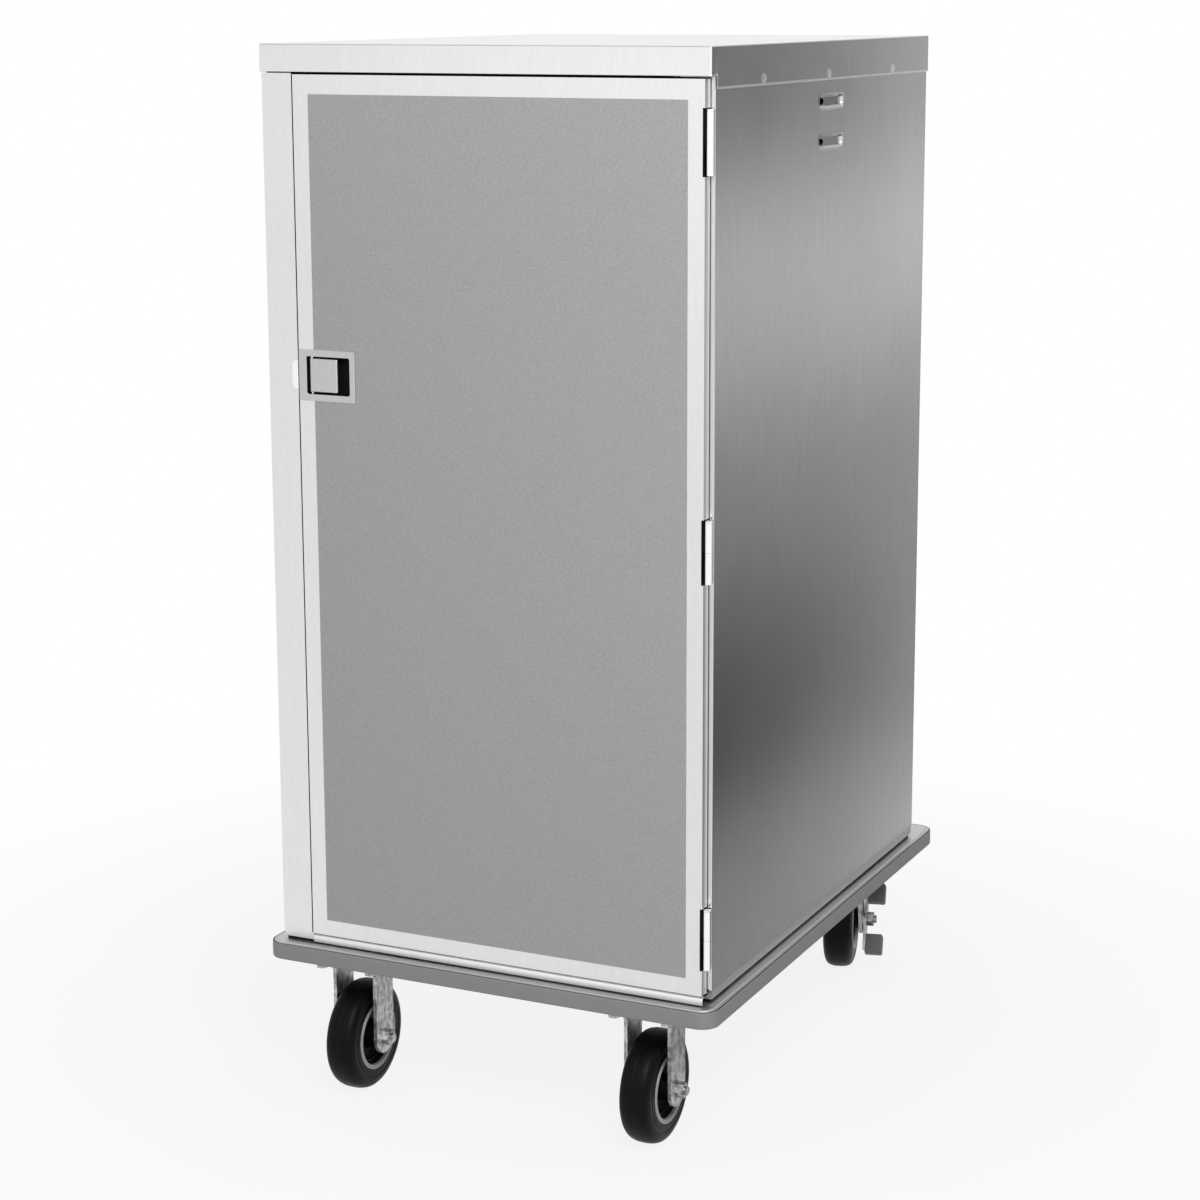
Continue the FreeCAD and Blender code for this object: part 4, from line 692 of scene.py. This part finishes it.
# %% Latch bezel
low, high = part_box("latch_case")
latch_x, latch_z = (low.x + high.x) / 2, (low.z + high.z) / 2
latch_half_x, latch_half_z = (high.x - low.x) / 2, (high.z - low.z) / 2
POCKET_X, POCKET_HALF, POCKET_CORNER, BEZEL_CORNER = -0.2251, (32.5 * MM, 25 * MM), 2.5 * MM, 1.0 * MM
BEZEL_EDGE = [(0, -0.6), (0, 0.55), (0.1, 0.85), (0.45, 1.0)]
POCKET_WALL = [(0.8, 1.0), (0.3, 0.9), (0.05, 0.6), (0, 0.2), (0, -12.4), (-0.3, -12.9), (-1.0, -13.0)]
DOOR_FACE, DOOR_BACK = door_low.y, door_high.y


def facing_front(x, y, z):
    """Placement of an upright outline, whose height points out of the door, towards -Y."""
    return lambda a, b, h: np.stack([x + a, y - h, z + b], -1)


def build_bezel():
    """Rows (inset, height) over the bezel's face, then (outset, height) down the pocket to its floor."""
    outer, normal = rectangle(latch_half_x, latch_half_z, BEZEL_CORNER)
    inner, inner_normal = rectangle(*POCKET_HALF, POCKET_CORNER)
    inner = inner + np.array([POCKET_X - latch_x, 0])
    rows = [outer - normal * inset * MM for inset, height in BEZEL_EDGE]
    rows += [inner + inner_normal * outset * MM for outset, height in POCKET_WALL]
    rows.append(np.broadcast_to(inner.mean(0), inner.shape))
    heights = np.array([height for _, height in BEZEL_EDGE + POCKET_WALL + POCKET_WALL[-1:]]) * MM
    flat = np.array(rows)
    height = np.broadcast_to(heights[:, None], flat.shape[:2])
    points = facing_front(latch_x, DOOR_FACE, latch_z)(flat[..., 0], flat[..., 1], height)
    return grid_object("latch_bezel_skin", points[:, ::-1], loop_v=True)


bezel = finish_piece(build_bezel(), "latch_metal", "door", "latch_case")
# Painted shade: the pocket's walls and floor get the gasket's near black.
pocket = second_paint(bezel, "gasket_dark", lambda c, n: c[:, 1] > DOOR_FACE + 1 * MM)
print("bezel:", len(bezel.data.polygons), "faces, pocket", pocket)

# %% [markdown]
# ## Painted shade in the gaps
# The gap round the door, the notch at the hinges and the undercut at the frame's foot read as black lines,
# because no light reaches their ends. A renderer with few bounces leaves bright steel bright even there, so
# the faces that close these gaps are picked by place and direction and take the gasket's near black as
# painted shade. The CAD meshes themselves stay as they are.

# %% Faces painted with shade in the gaps
JAMB_STOP_Y, JAMB_EDGE_X, FRAME_FOOT_Z = -0.415, -0.27, 0.2211
DOOR_TOP_Z, DOOR_HINGE_X, LEAF_X = 1.39, 0.309, 0.3108
# Faces in the gaps, piece by piece, that get the gasket's near black as painted shade.
PAINTED_SHADE_FACES = {
    "header": lambda c, n: n[:, 1] < -0.9,
    "left_jamb": lambda c, n: (((n[:, 1] < -0.9) & (c[:, 1] > JAMB_STOP_Y))
                               | ((n[:, 0] > 0.9) & (c[:, 0] < JAMB_EDGE_X))),
    "body_frame": lambda c, n: (c[:, 2] < FRAME_FOOT_Z) & (abs(n[:, 2]) < 0.1),
    "door_shell": lambda c, n: (((n[:, 2] > 0.9) & (c[:, 2] > DOOR_TOP_Z))
                                | ((n[:, 0] > 0.9) & (c[:, 0] < DOOR_HINGE_X))),
    "hinge_door_leaves": lambda c, n: c[:, 0] < LEAF_X,
}
for name, chosen in PAINTED_SHADE_FACES.items():
    print(name, "dark faces:", second_paint(frame["nodes"][name], "gasket_dark", chosen))

# %% [markdown]
# ## Sill
# The sill is the folded sheet under the door: a rounded nose that catches the light, a flat run, and an
# upstand that the door closes on. It is straight, so its profile is drawn out along x, with shorter ends
# on the upstand, and a modifier gives the sheet its thickness. Behind the nose, the run and the upstand
# lie in the gap under the door and are painted near black as painted shade.

# %% Sill
low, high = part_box("door_sill")
SILL_ROUND, SILL_TOP, SILL_LIP, SILL_SHEET = 5.0 * MM, 0.2285, 0.2215, 1.4 * MM
UPSTAND_Y, UPSTAND_ENDS, SILL_SHADE_Y = -0.4062, [-0.2517, 0.2695], -0.4155


def build_sill():
    """Nose as a quarter circle, y = front + r (1 - sin t), z = top - r (1 - cos t); rows with own ends."""
    t = np.linspace(math.pi / 2, 0, 9)
    nose = np.stack([low.y + SILL_ROUND * (1 - np.sin(t)), SILL_TOP - SILL_ROUND * (1 - np.cos(t))], -1)
    run = np.concatenate([[[low.y, low.z], [low.y, SILL_LIP]], nose,
                          [[UPSTAND_Y - 1.3 * MM, SILL_TOP], [UPSTAND_Y - 0.4 * MM, SILL_TOP]]])
    upstand = np.array([[UPSTAND_Y, SILL_TOP + 0.4 * MM], [UPSTAND_Y, high.z]])
    rows = np.concatenate([run, upstand])
    ends = np.repeat([[low.x, high.x], UPSTAND_ENDS], [len(run), len(upstand)], 0)
    x = ends[:, :1] + (ends[:, 1:] - ends[:, :1]) * np.linspace(0, 1, 5)
    points = np.stack([x, *np.broadcast_arrays(rows[:, :1], rows[:, 1:], x)[:2]], -1)
    return grid_object("sill_skin", points[:, ::-1])


sill = build_sill()
sheet = sill.modifiers.new("sheet", "SOLIDIFY")
sheet.thickness, sheet.offset = SILL_SHEET, -1
finish_piece(sill, "satin_stainless", "cart", "door_sill")
# Painted shade: the sill's faces behind the nose get the gasket's near black.
print("sill dark faces:", second_paint(sill, "gasket_dark", lambda c, n: c[:, 1] > SILL_SHADE_Y))

# %% [markdown]
# ## Door seal
# A rubber seal on the back of the door closes the gap all round. It is one closed section on a rounded
# rectangle, like the bumper, so it uses the same recipe, turned upright. Its lip stands a little past the
# door's edges, so its own black rubber also serves as painted shade in the gap: the thin dark line
# beside them.

# %% Door seal
SEAL = [(0.0, 0.0), (0.0, -1.4), (1.2, -1.5), (2.0, -1.1), (9, -1.1), (11, -1.55), (15, -1.55), (17, -1.0),
        (17, 0.0)]
SEAL_ROUND, SEAL_CORNER = 0.4, 1.5 * MM
seal_left, seal_right = door_low.x - 1.0 * MM, door_high.x - 0.5 * MM
seal_foot, seal_head = door_low.z - 1.3 * MM, door_high.z + 1.6 * MM
seal_place = facing_front((seal_left + seal_right) / 2, DOOR_BACK, (seal_foot + seal_head) / 2)
seal = ringed("seal_skin", (seal_right - seal_left) / 2, (seal_head - seal_foot) / 2, SEAL_CORNER,
              rounded(SEAL, SEAL_ROUND, 3, True) * MM, seal_place, 5, closed=True)
# Real black rubber, set out past the door's edges so that it also serves as painted shade in the gap.
finish_piece(seal, "gasket_dark", "door", "door_gasket")
print("seal:", len(seal.data.polygons), "faces")

# %% [markdown]
# ## Rounded sheet edges
# Folded sheet and bolts have no perfectly sharp edges, and each corner shows a fine line of light. The CAD
# pieces stay as they are, so a Bevel modifier rounds them: it works on the finished mesh, and its width is
# one number for each piece. Hardened normals keep the flats flat.

# %% Bevels on the CAD pieces
BEVEL_MM = {
    0.3: ("decor_panel", "hinge_pins", "latch_bolt"),
    0.4: ("strike_plate", "hinge_frame_leaves", "hinge_door_leaves"),
    0.5: ("rear_panel", "floor_pan", "rack_posts_left", "rack_posts_right", "front_axles",
          "caster_plate_bolts", "rear_axle_left", "rear_axle_right", "latch_paddle"),
    0.6: ("hinge_post", "header", "tray_ledges_left", "tray_ledges_right", "brake_rocker_left",
          "brake_rocker_right"),
    0.7: ("left_jamb", "door_shell"),
    0.8: ("front_fork_left", "front_fork_right", "rear_yoke_left", "rear_yoke_right"),
    1.5: ("body_frame",),
}
for width, names in BEVEL_MM.items():
    for name in names:
        item = frame["nodes"][name]
        item.data.polygons.foreach_set("use_smooth", np.ones(len(item.data.polygons), bool))
        bevel = item.modifiers.new("edge", "BEVEL")
        bevel.width, bevel.segments = width * MM, 2
        bevel.limit_method, bevel.angle_limit = "ANGLE", math.radians(35)
        bevel.harden_normals = True
print("bevelled:", sum(len(names) for names in BEVEL_MM.values()))

# %% [markdown]
# ## Floor and world
# The photograph stands on plain white. A white floor under strong light would burn out and throw light
# back up onto the cart. So the floor is grey paint for the light that reaches it, which keeps the shadow,
# and shows its own white only to camera, glossy and transmission rays, a little less near the cart. The
# world does the same.

# %% Floor
FLOOR_HALF, FLOOR_GREY, FLOOR_ROUGH = 14, 0.7, 0.9
GLOW_FROM, GLOW_TO = (0.5, 0.86), (1.6, 1.0)


def seen_mask(tree):
    """One for rays from the camera, a mirror or glass, zero for the rays that light the object."""
    rays = node(tree, "LightPath")
    return maths(tree, "MAXIMUM", rays.outputs["Is Camera Ray"],
                 maths(tree, "MAXIMUM", rays.outputs["Is Glossy Ray"], rays.outputs["Is Transmission Ray"]))


def floor_material():
    """Grey paint mixed with white glow; the mix grows with the distance from the cart's middle."""
    made = bpy.data.materials.new("floor_white")
    made.use_nodes = True
    tree = made.node_tree
    shader = tree.nodes["Principled BSDF"]
    shader.inputs["Base Color"].default_value = (FLOOR_GREY,) * 3 + (1,)
    shader.inputs["Roughness"].default_value = FLOOR_ROUGH
    shader.inputs["Specular IOR Level"].default_value = 0.0
    white = node(tree, "Emission", {"Color": (1, 1, 1, 1), "Strength": 1.0})
    away = node(tree, "VectorMath", {"operation": "LENGTH"})
    tree.links.new(node(tree, "TexCoord").outputs["Object"], away.inputs[0])
    glow = spread(tree, away.outputs["Value"], GLOW_FROM[0], GLOW_TO[0], GLOW_FROM[1], GLOW_TO[1])
    blend = tree.nodes.new("ShaderNodeMixShader")
    tree.links.new(maths(tree, "MULTIPLY", seen_mask(tree), glow), blend.inputs[0])
    tree.links.new(shader.outputs[0], blend.inputs[1])
    tree.links.new(white.outputs[0], blend.inputs[2])
    tree.links.new(blend.outputs[0], tree.nodes["Material Output"].inputs["Surface"])
    return made


u, v = np.meshgrid(*[np.linspace(-FLOOR_HALF, FLOOR_HALF, 3)] * 2, indexing="ij")
floor = grid_object("floor", np.stack([u, v, np.zeros_like(u)], -1)[:, ::-1])
floor.data.materials.append(floor_material())
print("floor:", 2 * FLOOR_HALF, "m wide")

# %% World
WORLD_LIGHT, WORLD_SEEN = 0.42, 1.0
world = bpy.data.worlds.new("studio")
scene.world = world
world.use_nodes = True
tree = world.node_tree
strength = spread(tree, seen_mask(tree), 0, 1, WORLD_LIGHT, WORLD_SEEN)
tree.links.new(strength, tree.nodes["Background"].inputs["Strength"])
tree.nodes["Background"].inputs["Color"].default_value = (1, 1, 1, 1)
print("world:", WORLD_LIGHT, "as light")

# %% [markdown]
# ## Lamps
# A studio picture has one large soft lamp beside the camera and a weak one that opens the shade. A sun or
# a point lamp would draw hard shadows, so both are wide disks close by. The fill is very weak here, because
# the front steel mirrors it.

# %% Lamps
def lamp(name, place, target, size, power):
    """Disk lamp turned to its target: yaw = atan2(y, x) less a quarter turn, pitch = atan2(z, distance)."""
    data = bpy.data.lights.new(name, "AREA")
    data.shape = "DISK"
    data.size = size
    data.energy = power
    made = bpy.data.objects.new(name, data)
    scene.collection.objects.link(made)
    made.location = place
    ahead = np.array(target, float) - np.array(place, float)
    yaw = math.atan2(ahead[1], ahead[0]) - math.pi / 2
    pitch = math.atan2(ahead[2], math.hypot(ahead[0], ahead[1]))
    made.rotation_euler = (math.pi / 2 + pitch, 0, yaw)
    return made


key = lamp("key", (1.7, -2.4, 2.7), (0, -0.3, 1.0), 1.6, 62)
fill = lamp("fill", (-0.4, -2.5, 1.55), (0, 0, 1.1), 1.6, 1.5)
print("lamps:", key.data.energy, "and", fill.data.energy, "watts")

# %% [markdown]
# ## Reflection cards
# Polished steel shows its room, and a photographer shapes that with cards just outside the picture. The
# side panel's slow bands of dark and light are such a reflection. They could be painted on the panel, but
# then they would be wrong from every other side. So a wall card and a floor card stand to the cart's
# right, seen only in reflections, and their bands are laid out by where the panel mirrors them to the
# camera.

# %% Bands of light
MIRROR = (2 * SIDE_X - PLACE[0], PLACE[1], PLACE[2])
PANEL_RUN = SIDE_X - MIRROR[0]
BAND_LOW, BAND_HIGH = 0.2, 1.45
FRONT_BANDS = [(0.20, 0.30), (0.32, 0.29), (0.42, 0.25), (0.50, 0.10), (0.62, 0.07), (0.72, 0.12),
               (0.82, 0.22), (0.92, 0.24), (1.02, 0.45), (1.12, 0.58), (1.20, 0.56), (1.27, 0.38),
               (1.34, 0.12), (1.45, 0.15)]
REAR_BANDS = [(0.20, 0.58), (0.30, 0.54), (0.40, 0.42), (0.55, 0.40), (0.80, 0.44), (0.92, 0.48),
              (1.02, 0.62), (1.15, 0.70), (1.25, 0.67), (1.34, 0.56), (1.45, 0.60)]
REAR_FROM, REAR_TO, REAR_POWER = -0.36, 0.36, 1.8


def bands(tree, value, stops):
    """Grey over the panel's height, on a smooth curve through the stops (height, grey)."""
    ramp = node(tree, "ValToRGB", None, Fac=spread(tree, value, BAND_LOW, BAND_HIGH))
    ramp.color_ramp.interpolation = "CARDINAL"
    while len(ramp.color_ramp.elements) < len(stops):
        ramp.color_ramp.elements.new(0.5)
    for stop, (height, grey) in zip(ramp.color_ramp.elements, stops):
        stop.position = (height - BAND_LOW) / (BAND_HIGH - BAND_LOW)
        stop.color = (grey, grey, grey, 1)
    return ramp.outputs[0]


# %% Card material
def card_material():
    """Soft bands of light, laid out by where the side panel shows each spot of the cards.

    MIRROR is the camera's mirror image in the panel. Where run says how many times farther from it a spot
    lies than the panel does, along x, the panel shows the spot at MIRROR + (spot - MIRROR) / run."""
    made = bpy.data.materials.new("card_bands")
    made.use_nodes = True
    tree = made.node_tree
    tree.nodes.remove(tree.nodes["Principled BSDF"])
    parts = node(tree, "SeparateXYZ", None, Vector=node(tree, "TexCoord").outputs["Object"])
    across, along, height = parts.outputs
    run = maths(tree, "DIVIDE", maths(tree, "SUBTRACT", across, MIRROR[0]), PANEL_RUN)
    shown = []
    for spot, start in ((along, MIRROR[1]), (height, MIRROR[2])):
        nearer = maths(tree, "DIVIDE", maths(tree, "SUBTRACT", spot, start), run)
        shown.append(maths(tree, "ADD", nearer, start))
    shown_y, shown_z = shown
    rear = maths(tree, "POWER", spread(tree, shown_y, REAR_FROM, REAR_TO), REAR_POWER)
    both = node(tree, "Mix", {"data_type": "RGBA"})
    tree.links.new(rear, both.inputs[0])
    tree.links.new(bands(tree, shown_z, FRONT_BANDS), both.inputs[6])
    tree.links.new(bands(tree, shown_z, REAR_BANDS), both.inputs[7])
    glow = node(tree, "Emission", None, Color=both.outputs[2])
    tree.links.new(glow.outputs[0], tree.nodes["Material Output"].inputs["Surface"])
    return made


# %% Reflection cards
CARD_X, CARD_HEIGHT, CARD_REAR, CARD_LIFT = 3.0, 3.0, 11.0, 0.004
card_paint = card_material()
y, z = np.meshgrid(np.linspace(0.6, CARD_REAR, 8), np.linspace(0.0, CARD_HEIGHT, 8), indexing="ij")
wall_card = grid_object("wall_card", np.stack([np.full_like(y, CARD_X), y, z], -1))
x, y = np.meshgrid(np.linspace(0.36, CARD_X, 8), np.linspace(-0.2, CARD_REAR, 8), indexing="ij")
floor_card = grid_object("floor_card", np.stack([x, y, np.full_like(x, CARD_LIFT)], -1))
for card in (wall_card, floor_card):
    card.data.materials.append(card_paint)
    card.visible_camera = False
    card.visible_diffuse = False
    card.visible_shadow = False
    card.visible_transmission = False
print("cards:", wall_card.name, floor_card.name)

# %% Finish
for item in frame["nodes"].values():
    item.data.update()
